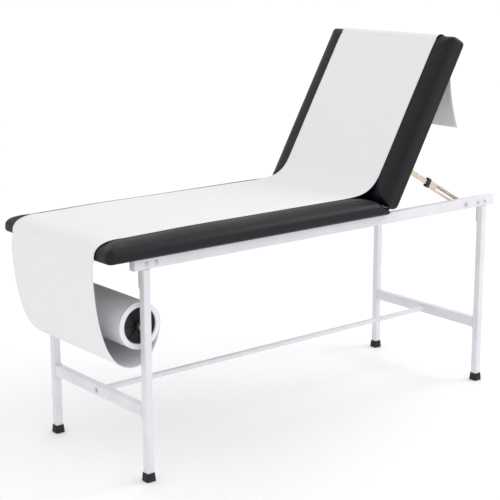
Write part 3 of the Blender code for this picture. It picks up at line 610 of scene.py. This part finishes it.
def open_underside(piece, start, end):
    """Takes out the underside inside the turned-in margin, so that the board shows."""
    margin = bottom_inset + vinyl_turn
    work = bmesh.new()
    work.from_mesh(piece.data)
    inside = []
    for face in work.faces:
        c = face.calc_center_median()
        flat = c.z < 6 * mm and face.normal.z < -0.5
        if flat and start + margin < c.x < end - margin and abs(c.y) < pad_half_width - margin:
            inside.append(face)
    bmesh.ops.delete(work, geom=inside, context="FACES")
    work.to_mesh(piece.data)
    work.free()


def flatten_underside(piece):
    """Presses the underside flat against what it rests on."""
    for vertex in piece.data.vertices:
        if vertex.co.z < 1.6 * mm:
            vertex.co.z = 0.0


def sag(piece):
    """The seat's foam is a little lower toward the foot, where people sit to get on."""
    fall, fall_from, fall_run, firm = 4.5 * mm, -790 * mm, 300 * mm, 20 * mm
    for vertex in piece.data.vertices:
        p = vertex.co
        if p.z > firm:
            share = (p.z - firm) / (seat_height - firm)
            p.z -= fall * share * eased((fall_from - p.x) / fall_run)


def fill_pad(kind, outside, place, body):
    """The foam block inside a cover, on its board."""
    in_by, board_top = vinyl_thick + 1.2 * mm, 17.4 * mm
    mesh = outside.copy()
    moved = [v.co - v.normal * in_by for v in mesh.vertices]
    for vertex, at in zip(mesh.vertices, moved):
        vertex.co = (at.x, at.y, max(at.z, board_top))
    mesh.materials.clear()
    piece = new_object(f"{kind}_foam_block", mesh, foam)
    mesh.transform(place)
    smooth(piece, 60)
    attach(piece, body)
    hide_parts(f"{kind}_foam")


def make_pad(kind, start, end, corners, sizes, place, body):
    """One upholstered pad, and a search tree of its outside for laying paper on."""
    shrink = 1.2 * mm
    piece = pad_body(f"{kind}_upholstery", start, end, corners, sizes, shrink)
    swell(piece, 5 * mm, 2.2 * mm)
    flatten_underside(piece)
    corner_tucks(piece, start, end(0.0), corners)
    if kind == "seat":
        sag(piece)
    modify(piece, "SMOOTH", factor=0.5, iterations=4)
    settle(piece)
    work = bmesh.new()
    work.from_mesh(piece.data)
    tree = BVHTree.FromBMesh(work)
    work.free()
    fill_pad(kind, piece.data, place, body)
    open_underside(piece, start, end(0.0))
    modify(piece, "SOLIDIFY", thickness=vinyl_thick, offset=-1.0)
    modify(piece, "SUBSURF", levels=1, render_levels=1)
    settle(piece)
    piece.data.materials.clear()
    piece.data.materials.append(vinyl)
    piece.data.transform(place)
    piece.data.shade_smooth()
    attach(piece, body)
    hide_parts(f"{kind}_cover")
    return tree


# ---------------------------------------------------------------- paper


def strip(name, path, columns, wander, start=0.0):
    """A strip along a path of points in X and Z. It stores the distance along it for the crepe."""
    lengths = [start]
    for a, b in zip(path, path[1:]):
        lengths.append(lengths[-1] + (b - a).length)
    points, faces = [], []
    for p, s in zip(path, lengths):
        for j in range(columns + 1):
            y = paper_half_width * (2 * j / columns - 1)
            points.append(Vector((p.x, y, p.y)) + wander(s, y))
    for i in range(len(path) - 1):
        for j in range(columns):
            a = i * (columns + 1) + j
            faces.append((a, a + 1, a + columns + 2, a + columns + 1))
    mesh = bpy.data.meshes.new(name)
    mesh.from_pydata([tuple(p) for p in points], [], faces)
    along = mesh.attributes.new("along", "FLOAT", "POINT")
    along.data.foreach_set("value", [s for s in lengths for _ in range(columns + 1)])
    return new_object(name, mesh, paper), lengths[-1]


def resample(path, spacing):
    """The same path with points a set distance apart."""
    out = [path[0]]
    left = spacing
    for a, b in zip(path, path[1:]):
        run = (b - a).length
        at = left
        while at < run:
            out.append(a.lerp(b, at / run))
            at += spacing
        left = at - run
    if (out[-1] - path[-1]).length > 0.3 * spacing:
        out.append(path[-1])
    else:
        out[-1] = path[-1]
    return out


def on_back(along, normal):
    p = back_frame @ Vector((along, 0, normal))
    return Vector((p.x, p.z))


def rest_on(sheet, tree, place, wanted):
    """Drops the vertices that wanted() picks on to a pad, eased by the share it returns."""
    inverse = place.inverted()
    for vertex in sheet.data.vertices:
        local = inverse @ vertex.co
        share = wanted(local)
        if share <= 0:
            continue
        hit = tree.ray_cast(Vector((local.x, local.y, 0.3)), Vector((0, 0, -1)))
        if hit[0] is not None:
            local.z += (hit[0].z + paper_lift - local.z) * share
            vertex.co = place @ local


def keep_off(sheet, tree, place):
    """Moves any vertex that is in a pad, or too near it, out to the paper's own distance."""
    inverse = place.inverted()
    for vertex in sheet.data.vertices:
        local = inverse @ vertex.co
        near, normal, _, _ = tree.find_nearest(local, 30 * mm)
        if near is not None and (local - near).dot(normal) < paper_lift:
            vertex.co = place @ (near + normal * paper_lift)


def thicken(sheet):
    modify(sheet, "SOLIDIFY", thickness=paper_thick, offset=0.0)
    settle(sheet)
    sheet.data.shade_smooth()


def make_paper(seat_tree, back_tree):
    """One length of paper: off the roll, round a slack loop, along the seat and up the back."""
    roll_x, roll_z = roll_middle.x, roll_middle.z
    top, edge_x = seat_high.z, seat_low.x
    drop_x = edge_x - 6 * mm
    around = roll_radius + 1.0 * mm
    off_roll = [
        Vector((roll_x + around * math.cos(a), roll_z + around * math.sin(a)))
        for a in (math.radians(30 - 5 * i) for i in range(6))
    ]
    bottom = Vector((roll_x - 23.5 * mm, roll_z - 125.5 * mm))
    fall = bezier(
        (roll_x + around, roll_z),
        (roll_x + around - 6 * mm, roll_z - 68 * mm),
        (bottom.x + 52 * mm, bottom.y),
        bottom,
        24,
    )
    hang_top = Vector((drop_x - 0.5 * mm, top - 92 * mm))
    climb = bezier(
        bottom, (bottom.x - 100 * mm, bottom.y), (drop_x + 4 * mm, roll_z + 38 * mm), hang_top, 40
    )
    shoulder = Vector((edge_x - 1.5 * mm, top - 50 * mm))
    lean = bezier(
        hang_top, hang_top + Vector((0, 16 * mm)), shoulder - Vector((0, 14 * mm)), shoulder, 10
    )
    seat_from = Vector((edge_x + 96 * mm, top - 4 * mm))
    over = bezier(
        shoulder,
        (shoulder.x, shoulder.y + 33 * mm),
        (seat_from.x - 64 * mm, seat_from.y),
        seat_from,
        24,
    )
    lift_off = Vector((hinge.x - 150 * mm, top + paper_lift))
    land_along, back_top = 108 * mm, back_height + pad_crown
    land = on_back(land_along, back_top + paper_lift)
    climb_way = Vector((math.cos(back_angle), math.sin(back_angle)))
    crease = bezier(lift_off, lift_off + Vector((65 * mm, 0)), land - climb_way * 65 * mm, land, 24)
    around_top = round_the_top()
    path = off_roll + fall + climb[1:] + lean[1:] + over[1:] + [lift_off] + crease[1:] + around_top
    path = resample(path, paper_step)

    def wander(s, y):
        """Paper is never quite flat: slow swells along it, more at its edges."""
        edge = (y / paper_half_width) ** 2
        swing = 0.3 * mm * math.sin(s * 19 + 2 * y)
        return Vector((0, swing, 0.2 * mm * math.sin(s * 23 + y * 9) * (0.4 + edge)))

    sheet, length = strip("paper_sheet", path, paper_columns, wander)
    seat_start, seat_stop = seat_from.x - hinge.x, lift_off.x - hinge.x

    def on_seat(local):
        if local.z < seat_height - 20 * mm or local.x > seat_stop + 25 * mm:
            return 0.0
        start_share = eased((local.x - seat_start + 45 * mm) / (50 * mm))
        return start_share * eased((seat_stop + 25 * mm - local.x) / (60 * mm))

    def on_the_back(local):
        if local.z < back_height - 16 * mm or local.x > back_length - back_round:
            return 0.0
        return eased((local.x - land_along + 25 * mm) / (60 * mm))

    rest_on(sheet, seat_tree, seat_frame, on_seat)
    rest_on(sheet, back_tree, back_frame, on_the_back)
    keep_off(sheet, seat_tree, seat_frame)
    keep_off(sheet, back_tree, back_frame)
    thicken(sheet)
    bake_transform(sheet)
    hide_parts("paper_seat", "paper_loop", "paper_back")
    return length


def round_the_top():
    """The paper's way over the top of the back, from its face to half way down its end."""
    radius = back_round + end_lift
    centre = (back_length - back_round, back_height - back_round + 1 * mm)
    points = [on_back(back_length - back_round - 14 * mm, back_height + 2 * mm + paper_lift)]
    for i in range(1, 10):
        a = math.radians(90 - 10 * i)
        points.append(on_back(centre[0] + radius * math.cos(a), centre[1] + radius * math.sin(a)))
    points.append(on_back(back_length + end_lift, seam_height))
    return points


def make_tail(back_tree, length_before):
    """The free end: down the end of the back and hanging behind it."""
    hang_from = on_back(back_length + 1.4 * mm, -1.5 * mm)
    drop = 305 * mm
    hang = bezier(
        hang_from,
        hang_from + Vector((-5 * mm, -0.40 * drop)),
        hang_from + Vector((6 * mm, -0.68 * drop)),
        hang_from + Vector((45 * mm, -drop)),
        40,
    )
    out = back_length + end_lift
    path = resample([on_back(out, seam_height), on_back(out, 3 * mm)] + hang, paper_step)

    def wander(s, y):
        loose = eased((s - length_before - 0.04) / 0.2)
        return Vector((loose * 2.0 * mm * math.sin(y * 11 + s * 6), 0, 0))

    tail, length = strip("paper_tail_end", path, paper_columns, wander, length_before)
    keep_off(tail, back_tree, back_frame)
    thicken(tail)
    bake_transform(tail)
    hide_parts("paper_tail")


# ---------------------------------------------------------------- roll


def make_roll():
    """The wound paper: its layers stand a little in and out of line at both ends."""
    half = paper_half_width
    rng = random.Random(7)
    steps = 26
    face = []
    for i in range(steps + 1):
        r = roll_open_radius + (roll_radius - roll_open_radius) * i / steps
        face.append((r, half - (0.1 + 0.9 * rng.random()) * 0.5 * mm))
    other = [(r, -half + (0.1 + 0.9 * rng.random()) * 0.5 * mm) for r, _ in reversed(face)]
    rounded = [(roll_radius - 0.1 * mm, half - 0.8 * mm), (roll_radius - 0.1 * mm, -half + 0.8 * mm)]
    mesh = turned_about_y("paper_roll_wound", face + rounded + other, 160)
    piece = new_object("paper_roll_wound", mesh, paper_roll_finish)
    mesh.transform(Matrix.Translation(roll_middle))
    smooth(piece, 30)
    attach(piece, "roll")
    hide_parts("paper_roll")
    core_low, core_high = corner_boxes("roll_core")
    outer = (core_high.z - core_low.z) / 2
    reach = (core_high.y - core_low.y) / 2
    thick = 1.6 * mm
    profile = [(outer, reach - 0.3 * mm), (outer - 0.3 * mm, reach), (outer - thick + 0.3 * mm, reach)]
    profile.append((outer - thick, reach - 0.3 * mm))
    profile += [(r, -y) for r, y in reversed(profile)]
    core = new_object("roll_core_tube", turned_about_y("roll_core_tube", profile, 128), card)
    core.data.transform(Matrix.Translation(roll_middle))
    smooth(core, 30)
    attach(core, "roll")
    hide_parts("roll_core")


def make_hub(side, sign):
    """A moulded end plug: a rim, a thin web, a boss round the axle and ribs between them."""
    low, high = corner_boxes(f"roll_hub_{side}")
    rim = (high.z - low.z) / 2
    face = paper_half_width - 6 * mm
    bore = 6.3 * mm
    profile = [
        (bore, face + 3.6 * mm),
        (bore + 0.5 * mm, face + 4 * mm),
        (10.4 * mm, face + 4 * mm),
        (11 * mm, face + 3.4 * mm),
        (11.6 * mm, face - 1.5 * mm),
        (rim - 4 * mm, face - 1.5 * mm),
        (rim - 3 * mm, face + 1.4 * mm),
        (rim - 2.4 * mm, face + 2 * mm),
        (rim - 0.4 * mm, face + 2 * mm),
        (rim, face + 1.6 * mm),
        (rim, face - 11.6 * mm),
        (rim - 0.4 * mm, face - 12 * mm),
        (rim - 1.6 * mm, face - 12 * mm),
        (rim - 2 * mm, face - 11.6 * mm),
        (rim - 2 * mm, face - 3 * mm),
        (bore, face - 3 * mm),
    ]
    name = f"roll_end_plug_{side}"
    mesh = turned_about_y(name, [(r, sign * y) for r, y in profile], 96)
    mesh.transform(Matrix.Translation(roll_middle))
    piece = new_object(name, mesh, black_plastic)
    smooth(piece, 30)
    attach(piece, "roll")
    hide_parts(f"roll_hub_{side}")
    ribs = radial_ribs(f"roll_plug_ribs_{side}", 8, 11.2 * mm, rim - 3.4 * mm, 2.6 * mm, 1.8 * mm)
    ribs.data.transform(Matrix.Translation(roll_middle + Vector((0, sign * (face - 0.2 * mm), 0))))
    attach(ribs, "roll")


# ---------------------------------------------------------------- geometry nodes


def group(name, sizes):
    """A Geometry Nodes tree with named inputs. sizes is {name: default}, and None is an object."""
    tree = bpy.data.node_groups.new(name, "GeometryNodeTree")
    tree.interface.new_socket("Geometry", in_out="INPUT", socket_type="NodeSocketGeometry")
    kinds = {int: "NodeSocketInt", float: "NodeSocketFloat", type(None): "NodeSocketObject"}
    for label, value in sizes.items():
        socket = tree.interface.new_socket(label, in_out="INPUT", socket_type=kinds[type(value)])
        if value is not None:
            socket.default_value = value
    tree.interface.new_socket("Geometry", in_out="OUTPUT", socket_type="NodeSocketGeometry")
    return tree, tree.nodes.new("NodeGroupInput")


def close_group(tree, geometry, finish):
    """Ends a tree with real meshes and their material."""
    real = add(tree, "GeometryNodeRealizeInstances", {"Geometry": geometry}).outputs["Geometry"]
    coloured = add(
        tree, "GeometryNodeSetMaterial", {"Geometry": real, "Material": finish}
    ).outputs["Geometry"]
    end = tree.nodes.new("NodeGroupOutput")
    tree.links.new(coloured, end.inputs[0])


def grown(name, tree, mesh, sizes):
    """Runs a tree on a mesh with these sizes and keeps the result as plain geometry."""
    piece = new_object(name, mesh)
    change = piece.modifiers.new("Nodes", "NODES")
    change.node_group = tree
    for item in tree.interface.items_tree:
        if item.in_out == "INPUT" and item.name in sizes:
            change[item.identifier] = sizes[item.name]
    settle(piece)
    return piece


def points_mesh(name, places):
    """One vertex for each place, which carries its own turn as an Euler attribute."""
    mesh = bpy.data.meshes.new(name)
    mesh.from_pydata([tuple(p) for p, _ in places], [], [])
    turn = mesh.attributes.new("turn", "FLOAT_VECTOR", "POINT")
    turn.data.foreach_set("vector", [c for _, t in places for c in t])
    return mesh


def instance_tree(name, finish):
    """Sets a copy of a shape at each point, turned by the point's own attribute."""
    tree, start = group(name, {"Shape": None, "Size": 1.0})
    shape = add(tree, "GeometryNodeObjectInfo", {"Object": start.outputs["Shape"]})
    turn = add(tree, "GeometryNodeInputNamedAttribute", {"Name": "turn"}, data_type="FLOAT_VECTOR")
    euler = add(tree, "FunctionNodeEulerToRotation", {"Euler": turn.outputs["Attribute"]})
    copies = add(
        tree,
        "GeometryNodeInstanceOnPoints",
        {
            "Points": start.outputs["Geometry"],
            "Instance": shape.outputs["Geometry"],
            "Rotation": euler.outputs["Rotation"],
            "Scale": start.outputs["Size"],
        },
    )
    close_group(tree, copies.outputs["Instances"], finish)
    return tree


def scatter(name, shape, places, finish, body):
    """Copies of one small shape at places, as one piece on a body. A place is (point, turn)."""
    tree = instance_tree(f"{name}_copies", finish)
    tool = new_object(f"{name}_shape", shape)
    piece = grown(name, tree, points_mesh(name, places), {"Shape": tool, "Size": 1.0})
    bpy.data.objects.remove(tool, do_unlink=True)
    smooth(piece, 35)
    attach(piece, body)


def radial_ribs(name, count, inner, outer, depth, thick):
    """Straight ribs between two radii, round the Y axis."""
    tree, start = group(
        f"{name}_tree",
        {"Count": 6, "Inner": 0.01, "Outer": 0.05, "Depth": 0.003, "Thickness": 0.002},
    )
    length = add(
        tree, "ShaderNodeMath", {0: start.outputs["Outer"], 1: start.outputs["Inner"]}, operation="SUBTRACT"
    ).outputs[0]
    both = add(
        tree, "ShaderNodeMath", {0: start.outputs["Outer"], 1: start.outputs["Inner"]}, operation="ADD"
    ).outputs[0]
    centre = add(tree, "ShaderNodeMath", {0: both, 1: 0.5}, operation="MULTIPLY").outputs[0]
    size = add(
        tree,
        "ShaderNodeCombineXYZ",
        {"X": length, "Y": start.outputs["Depth"], "Z": start.outputs["Thickness"]},
    ).outputs["Vector"]
    rib = add(tree, "GeometryNodeMeshCube", {"Size": size, "Vertices X": 8}).outputs["Mesh"]
    place = add(tree, "ShaderNodeCombineXYZ", {"X": centre}).outputs["Vector"]
    moved = add(
        tree, "GeometryNodeTransform", {"Geometry": rib, "Translation": place}
    ).outputs["Geometry"]
    points = add(tree, "GeometryNodePoints", {"Count": start.outputs["Count"]}).outputs["Points"]
    index = add(tree, "GeometryNodeInputIndex").outputs["Index"]
    share = add(
        tree, "ShaderNodeMath", {0: index, 1: start.outputs["Count"]}, operation="DIVIDE"
    ).outputs[0]
    angle = add(tree, "ShaderNodeMath", {0: share, 1: 2 * math.pi}, operation="MULTIPLY").outputs[0]
    turn = add(tree, "ShaderNodeCombineXYZ", {"Y": angle}).outputs["Vector"]
    euler = add(tree, "FunctionNodeEulerToRotation", {"Euler": turn}).outputs["Rotation"]
    copies = add(
        tree,
        "GeometryNodeInstanceOnPoints",
        {"Points": points, "Instance": moved, "Rotation": euler},
    ).outputs["Instances"]
    close_group(tree, copies, black_plastic)
    mesh = bpy.data.meshes.new(name)
    sizes = {"Count": count, "Inner": inner, "Outer": outer, "Depth": depth, "Thickness": thick}
    return grown(name, tree, mesh, sizes)


# ---------------------------------------------------------------- fasteners


def bolt_head_shape():
    """A button head with a hexagon socket, its bearing face at the origin and its axis along +Z."""
    head_r, head_h, socket_r, socket_deep = 7.0 * mm, 3.8 * mm, 2.4 * mm, 1.8 * mm
    shank_r, shank, brim, land = 4.0 * mm, 6 * mm, 0.7 * mm, 1.0 * mm
    rings = [circle(shank_r, -shank), circle(shank_r, 0.0), circle(head_r, 0.0), circle(head_r, brim)]
    for i in range(1, 5):
        a = math.pi / 2 * i / 5
        r = socket_r + land + (head_r - socket_r - land) * math.cos(a)
        rings.append(circle(r, brim + (head_h - brim) * math.sin(a)))
    floor = head_h - socket_deep
    rings += [hexagon(socket_r + 0.3 * mm, head_h), hexagon(socket_r, head_h - 0.3 * mm)]
    rings += [hexagon(socket_r, floor), circle(0.6 * mm, floor - 0.5 * mm)]
    return ring_mesh("bolt_head", rings)


def nut_shape():
    """A hexagon nut with chamfered corners, a washer face and a bolt end standing out of it."""
    washer_r, corner_r, bolt_r = 8.4 * mm, 7.5 * mm, 3.9 * mm
    rings = [circle(washer_r, 0.0), circle(washer_r, 1.3 * mm), circle(6.4 * mm, 1.3 * mm)]
    rings += [hexagon(corner_r, 2.1 * mm), hexagon(corner_r, 7.0 * mm)]
    rings += [circle(6.2 * mm, 7.8 * mm), circle(4.1 * mm, 7.8 * mm), circle(bolt_r, 7.4 * mm)]
    rings += [circle(bolt_r, 10.4 * mm), circle(3.3 * mm, 11.0 * mm)]
    return ring_mesh("nut", rings)


def screw_shape():
    """A pan-head wood screw with a cross recess, head up along -Z."""
    profile = ((1.9, 2.0), (1.9, 0.0), (4.1, 0.0), (4.1, -0.7), (3.6, -1.6), (2.4, -2.2))
    rings = [circle(r * mm, z * mm) for r, z in profile]

    def cross(size, z):
        ring = circle(1.0, z)
        for i, p in enumerate(ring):
            reach = size * (1.0 if i % 6 in (5, 0, 1) else 0.42)
            p.xy *= reach
        return ring

    rings.append(cross(2.1 * mm, -2.2 * mm))
    rings.append(cross(1.6 * mm, -1.0 * mm))
    return ring_mesh("screw", rings)


def staple_shape():
    """The crown of an upholstery staple, a flattened wire 12 mm across, lying under a board."""
    half, wire, deep = 6 * mm, 0.6 * mm, 0.9 * mm
    path = [(-half, 0.8 * mm), (-half, -deep * 0.4), (-half * 0.9, -deep * 0.7)]
    path += [(half * 0.9, -deep * 0.7), (half, -deep * 0.4), (half, 0.8 * mm)]
    rings = []
    for x, z in path:
        rings.append(
            [
                Vector((x + dx * wire, dy * wire, z + dz * wire))
                for dx, dy, dz in ((0, -1, -0.5), (0, 1, -0.5), (0, 1, 0.5), (0, -1, 0.5))
            ]
        )
    return ring_mesh("staple", rings)


def make_frame_bolts():
    """Two bolts and nuts at each leg's plate, and a nut on each strut's pivot bolt."""
    heads, nuts = [], []
    plate_inner = corner_boxes("leg_plate_foot_near")[1].y
    channel_inner = corner_boxes("strut_channel_near")[1].y
    pivot = middle("strut_pivot_bolt_near")
    pitch, stand_off, quarter = 35 * mm, 0.6 * mm, math.pi / 2
    for sign in (-1, 1):
        for node in ("leg_foot_near", "leg_head_near"):
            x = middle(node).x
            inward = math.copysign(1, table_x - x)
            for at in (x, x + inward * pitch):
                head_at = Vector((at, sign * -rail_low.y, pivot.z))
                heads.append((head_at, (-sign * quarter, 0.3, 0.0)))
                nut_at = Vector((at, sign * -plate_inner, pivot.z))
                nuts.append((nut_at, (sign * quarter, 0.4, 0.0)))
    for sign in (-1, 1):
        nut_at = Vector((pivot.x, sign * -(channel_inner + stand_off), pivot.z))
        nuts.append((nut_at, (sign * quarter, 0.1, 0.0)))
    scatter("frame_bolt_heads", bolt_head_shape(), heads, bright_zinc, "frame")
    scatter("frame_bolt_nuts", nut_shape(), nuts, bright_zinc, "frame")


def make_screws():
    """Wood screws: three in each hinge leaf, two in each strut bracket."""
    out, near, spread, hinge_y = 37 * mm, 23 * mm, 20 * mm, 150 * mm
    leaf_under, flange_under = -2.3 * mm, -3.3 * mm
    rng = random.Random(3)
    seat_places, back_places = [], []
    bracket_screws, bracket_y = (124 * mm, 170 * mm), 221.3 * mm
    for side in (-1, 1):
        for x, y in ((out, -spread), (out, spread), (near, 0.0)):
            at = side * hinge_y + y
            seat_places.append(
                (seat_frame @ Vector((-x, at, leaf_under)), (0.0, 0.0, rng.random() * 3))
            )
            back_places.append((Vector((x, at, leaf_under)), rng.random() * 3))
        for along in bracket_screws:
            back_places.append((Vector((along, side * bracket_y, flange_under)), rng.random() * 3))
    tilted = [(back_frame @ p, (0.0, -back_angle, 0.0)) for p, _ in back_places]
    scatter("seat_hinge_screws", screw_shape(), seat_places, bright_zinc, "frame")
    scatter("back_screws", screw_shape(), tilted, bright_zinc, "backrest")


def bead_shape():
    """One ripple of a weld: a low rounded lump."""
    rings = []
    for i in range(6):
        a = math.pi * (0.08 + 0.84 * i / 5)
        r = 2.3 * mm * math.sin(a)
        rings.append(
            [
                Vector(
                    (
                        r * math.cos(math.pi * k / 4),
                        r * math.sin(math.pi * k / 4),
                        -2.0 * mm * math.cos(a),
                    )
                )
                for k in range(8)
            ]
        )
    return ring_mesh("bead", rings)


def make_welds():
    """Beads round both ends of the low crossbars and the hinge cross tube, ripple by ripple."""
    rng = random.Random(11)
    places = []

    def run(corners, y):
        for (x0, z0), (x1, z1) in zip(corners, corners[1:] + corners[:1]):
            steps = max(1, round(math.hypot(x1 - x0, z1 - z0) / (2.4 * mm)))
            for i in range(steps):
                t = i / steps
                p = Vector((x0 + (x1 - x0) * t, y, z0 + (z1 - z0) * t))
                wobble = Vector([rng.uniform(-0.25, 0.25) * mm for _ in range(3)])
                places.append((p + wobble, (rng.random(), rng.random(), rng.random())))

    for node in ("crossbar_foot", "crossbar_head", "cross_tube_hinge"):
        low, high = corner_boxes(node)
        corners = [(low.x, low.z), (high.x, low.z), (high.x, high.z), (low.x, high.z)]
        run(corners, low.y)
        run(corners, high.y)
    scatter("weld_beads", bead_shape(), places, coat, "frame")


def tooth_shape():
    """One ratchet tooth with rounded corners, standing 0.9 mm off the channel's face, dark as painted
    shade.
    """
    rings = []
    for grow, z in ((1.0, -0.3), (1.0, 0.7), (0.8, 0.9)):
        ring = []
        for i in range(12):
            a = 2 * math.pi * i / 12
            x = 2.6 * mm * grow * math.copysign(abs(math.cos(a)) ** 0.6, math.cos(a))
            y = 1.9 * mm * grow * math.copysign(abs(math.sin(a)) ** 0.6, math.sin(a))
            ring.append(Vector((x, y, z * mm)))
        rings.append(ring)
    return ring_mesh("tooth", rings)


def make_racks_dark_as_shade():
    """Teeth along the top of each channel's window, black as painted shade in the ratchet notches."""
    slide = Vector(joint("strut_near_slide")["axis"]).normalized()
    if slide.z < 0:
        slide.negate()
    up = Vector((-slide.z, 0, slide.x)) * (1 if slide.x > 0 else -1)
    first, pitch, teeth, tooth_up = 30.2 * mm, 12.4 * mm, 10, 6.4 * mm
    for side, sign in (("near", -1), ("far", 1)):
        pivot = Vector(joint(f"strut_{side}_swing")["pos_m"])
        face = pivot.y + sign * channel_thick / 2
        tilt = math.atan2(slide.z, -slide.x)
        turn = Matrix.Rotation(math.pi / 2 if sign < 0 else -math.pi / 2, 3, "X")
        euler = tuple((Matrix.Rotation(tilt, 3, "Y") @ turn).to_euler())
        places = []
        for i in range(teeth):
            p = pivot + slide * (first + pitch * i) + up * tooth_up
            places.append((Vector((p.x, face, p.z)), euler))
        # The black finish of these teeth is painted shade of the notches, not a coating.
        scatter(
            f"strut_teeth_{side}", tooth_shape(), places, black_plastic, f"strut_{side}"
        )


def make_staples():
    """Staples that hold the turned-in covers, every 45 mm, a little uneven as by hand."""
    rng = random.Random(5)
    step, side_in, end_in = 45 * mm, 17 * mm, 32 * mm
    out_y = pad_half_width - side_in

    def row(low_x, high_x):
        places = []
        count = round((high_x - low_x) / step)
        for side in (-1, 1):
            for i in range(count + 1):
                x = low_x + (high_x - low_x) * i / count + rng.uniform(-2, 2) * mm
                places.append((Vector((x, side * out_y, 0.0)), rng.uniform(-0.2, 0.2)))
        for x in (low_x, high_x):
            for i in range(-4, 5):
                y = i * step + rng.uniform(-2, 2) * mm
                places.append((Vector((x, y, 0.0)), math.pi / 2 + rng.uniform(-0.2, 0.2)))
        return places

    seat_places = [(seat_frame @ p, (0.0, 0.0, t)) for p, t in row(-seat_length + end_in, -75 * mm)]
    scatter("seat_staples", staple_shape(), seat_places, bright_zinc, "frame")
    back_places = []
    for p, t in row(75 * mm, back_length - end_in):
        turn = (Matrix.Rotation(-back_angle, 3, "Y") @ Matrix.Rotation(t, 3, "Z")).to_euler()
        back_places.append((back_frame @ p, tuple(turn)))
    scatter("back_staples", staple_shape(), back_places, bright_zinc, "backrest")


finish_cad_nodes()
seat_tree = make_pad(
    "seat",
    -seat_length,
    seat_end,
    seat_corners,
    (seat_height, seat_run, seat_rise),
    seat_frame,
    "frame",
)
back_tree = make_pad(
    "back",
    back_start,
    lambda z: back_length,
    back_corners,
    (back_height, back_round, back_round),
    back_frame,
    "backrest",
)
sheet_length = make_paper(seat_tree, back_tree)
make_tail(back_tree, sheet_length)
make_roll()
for hub_side, hub_sign in (("near", -1), ("far", 1)):
    make_hub(hub_side, hub_sign)
make_frame_bolts()
make_screws()
make_welds()
make_staples()
make_racks_dark_as_shade()

# ---------------------------------------------------------------- room, light and camera


def make_room():
    floor_mat, tree, shader, place = material("floor_white", "f7f7f8", 0.55)
    bump(tree, shader, noise(tree, place, 6 * mm, 3.0), 0.05 * mm, 0.4)
    shader.inputs["Emission Color"].default_value = (1, 1, 1, 1)
    shader.inputs["Emission Strength"].default_value = 0.10
    depth, bend, wall_y, wall_top, half_width = 6.0, 1.2, 3.0, 6.0, 9.0
    profile = [(-depth, 0.0), (wall_y, 0.0)]
    for i in range(1, 13):
        a = math.pi / 2 * i / 12
        profile.append((wall_y + bend * math.sin(a), bend * (1 - math.cos(a))))
    profile.append((wall_y + bend, wall_top))
    faces, points = [], []
    for y, z in profile:
        points += [Vector((-half_width, y, z)), Vector((half_width, y, z))]
    for i in range(len(profile) - 1):
        faces.append((2 * i, 2 * i + 1, 2 * i + 3, 2 * i + 2))
    mesh = mesh_from("studio_floor", points, faces, False)
    turn = Matrix.Rotation(math.radians(-39), 4, "Z")
    mesh.transform(turn)
    floor = new_object("studio_floor", mesh, floor_mat)
    floor.data.shade_smooth()


def area_light(name, place, aim, size, power):
    lamp = bpy.data.lights.new(name, "AREA")
    lamp.shape = "RECTANGLE"
    lamp.size, lamp.size_y = size
    lamp.energy = power
    made = bpy.data.objects.new(name, lamp)
    made.location = place
    made.rotation_euler = (Vector(aim) - Vector(place)).to_track_quat("-Z", "Y").to_euler()
    bpy.context.collection.objects.link(made)


def make_light():
    world = bpy.data.worlds.new("studio")
    world.use_nodes = True
    world.node_tree.nodes["Background"].inputs["Color"].default_value = (1, 1, 1, 1)
    world.node_tree.nodes["Background"].inputs["Strength"].default_value = 0.92
    bpy.context.scene.world = world
    area_light("key", (1.6, -4.2, 2.6), (0.0, 0.0, 0.6), (2.2, 2.2), 14)
    area_light("streak", (2.6, -1.0, 2.9), (0.0, -0.3, 0.75), (1.3, 1.3), 26)


def make_camera():
    """Stands to the table's foot and near side, a little over a person's waist."""
    lens = bpy.data.cameras.new("camera")
    lens.lens = 94.065
    lens.sensor_width = 36
    lens.clip_end = 100
    made = bpy.data.objects.new("camera", lens)
    made.location = (table_x - 2.8345, -3.3159, 1.5907)
    yaw, pitch, roll = 0.6846, -0.2325, -0.0018
    forward = Vector(
        (math.cos(pitch) * math.sin(yaw), math.cos(pitch) * math.cos(yaw), math.sin(pitch))
    )
    turn = forward.to_track_quat("-Z", "Y").to_matrix()
    made.rotation_euler = (turn @ Matrix.Rotation(roll, 3, "Z")).to_euler()
    bpy.context.collection.objects.link(made)
    bpy.context.scene.camera = made


make_room()
make_light()
make_camera()
bpy.context.scene.view_settings.view_transform = "Standard"
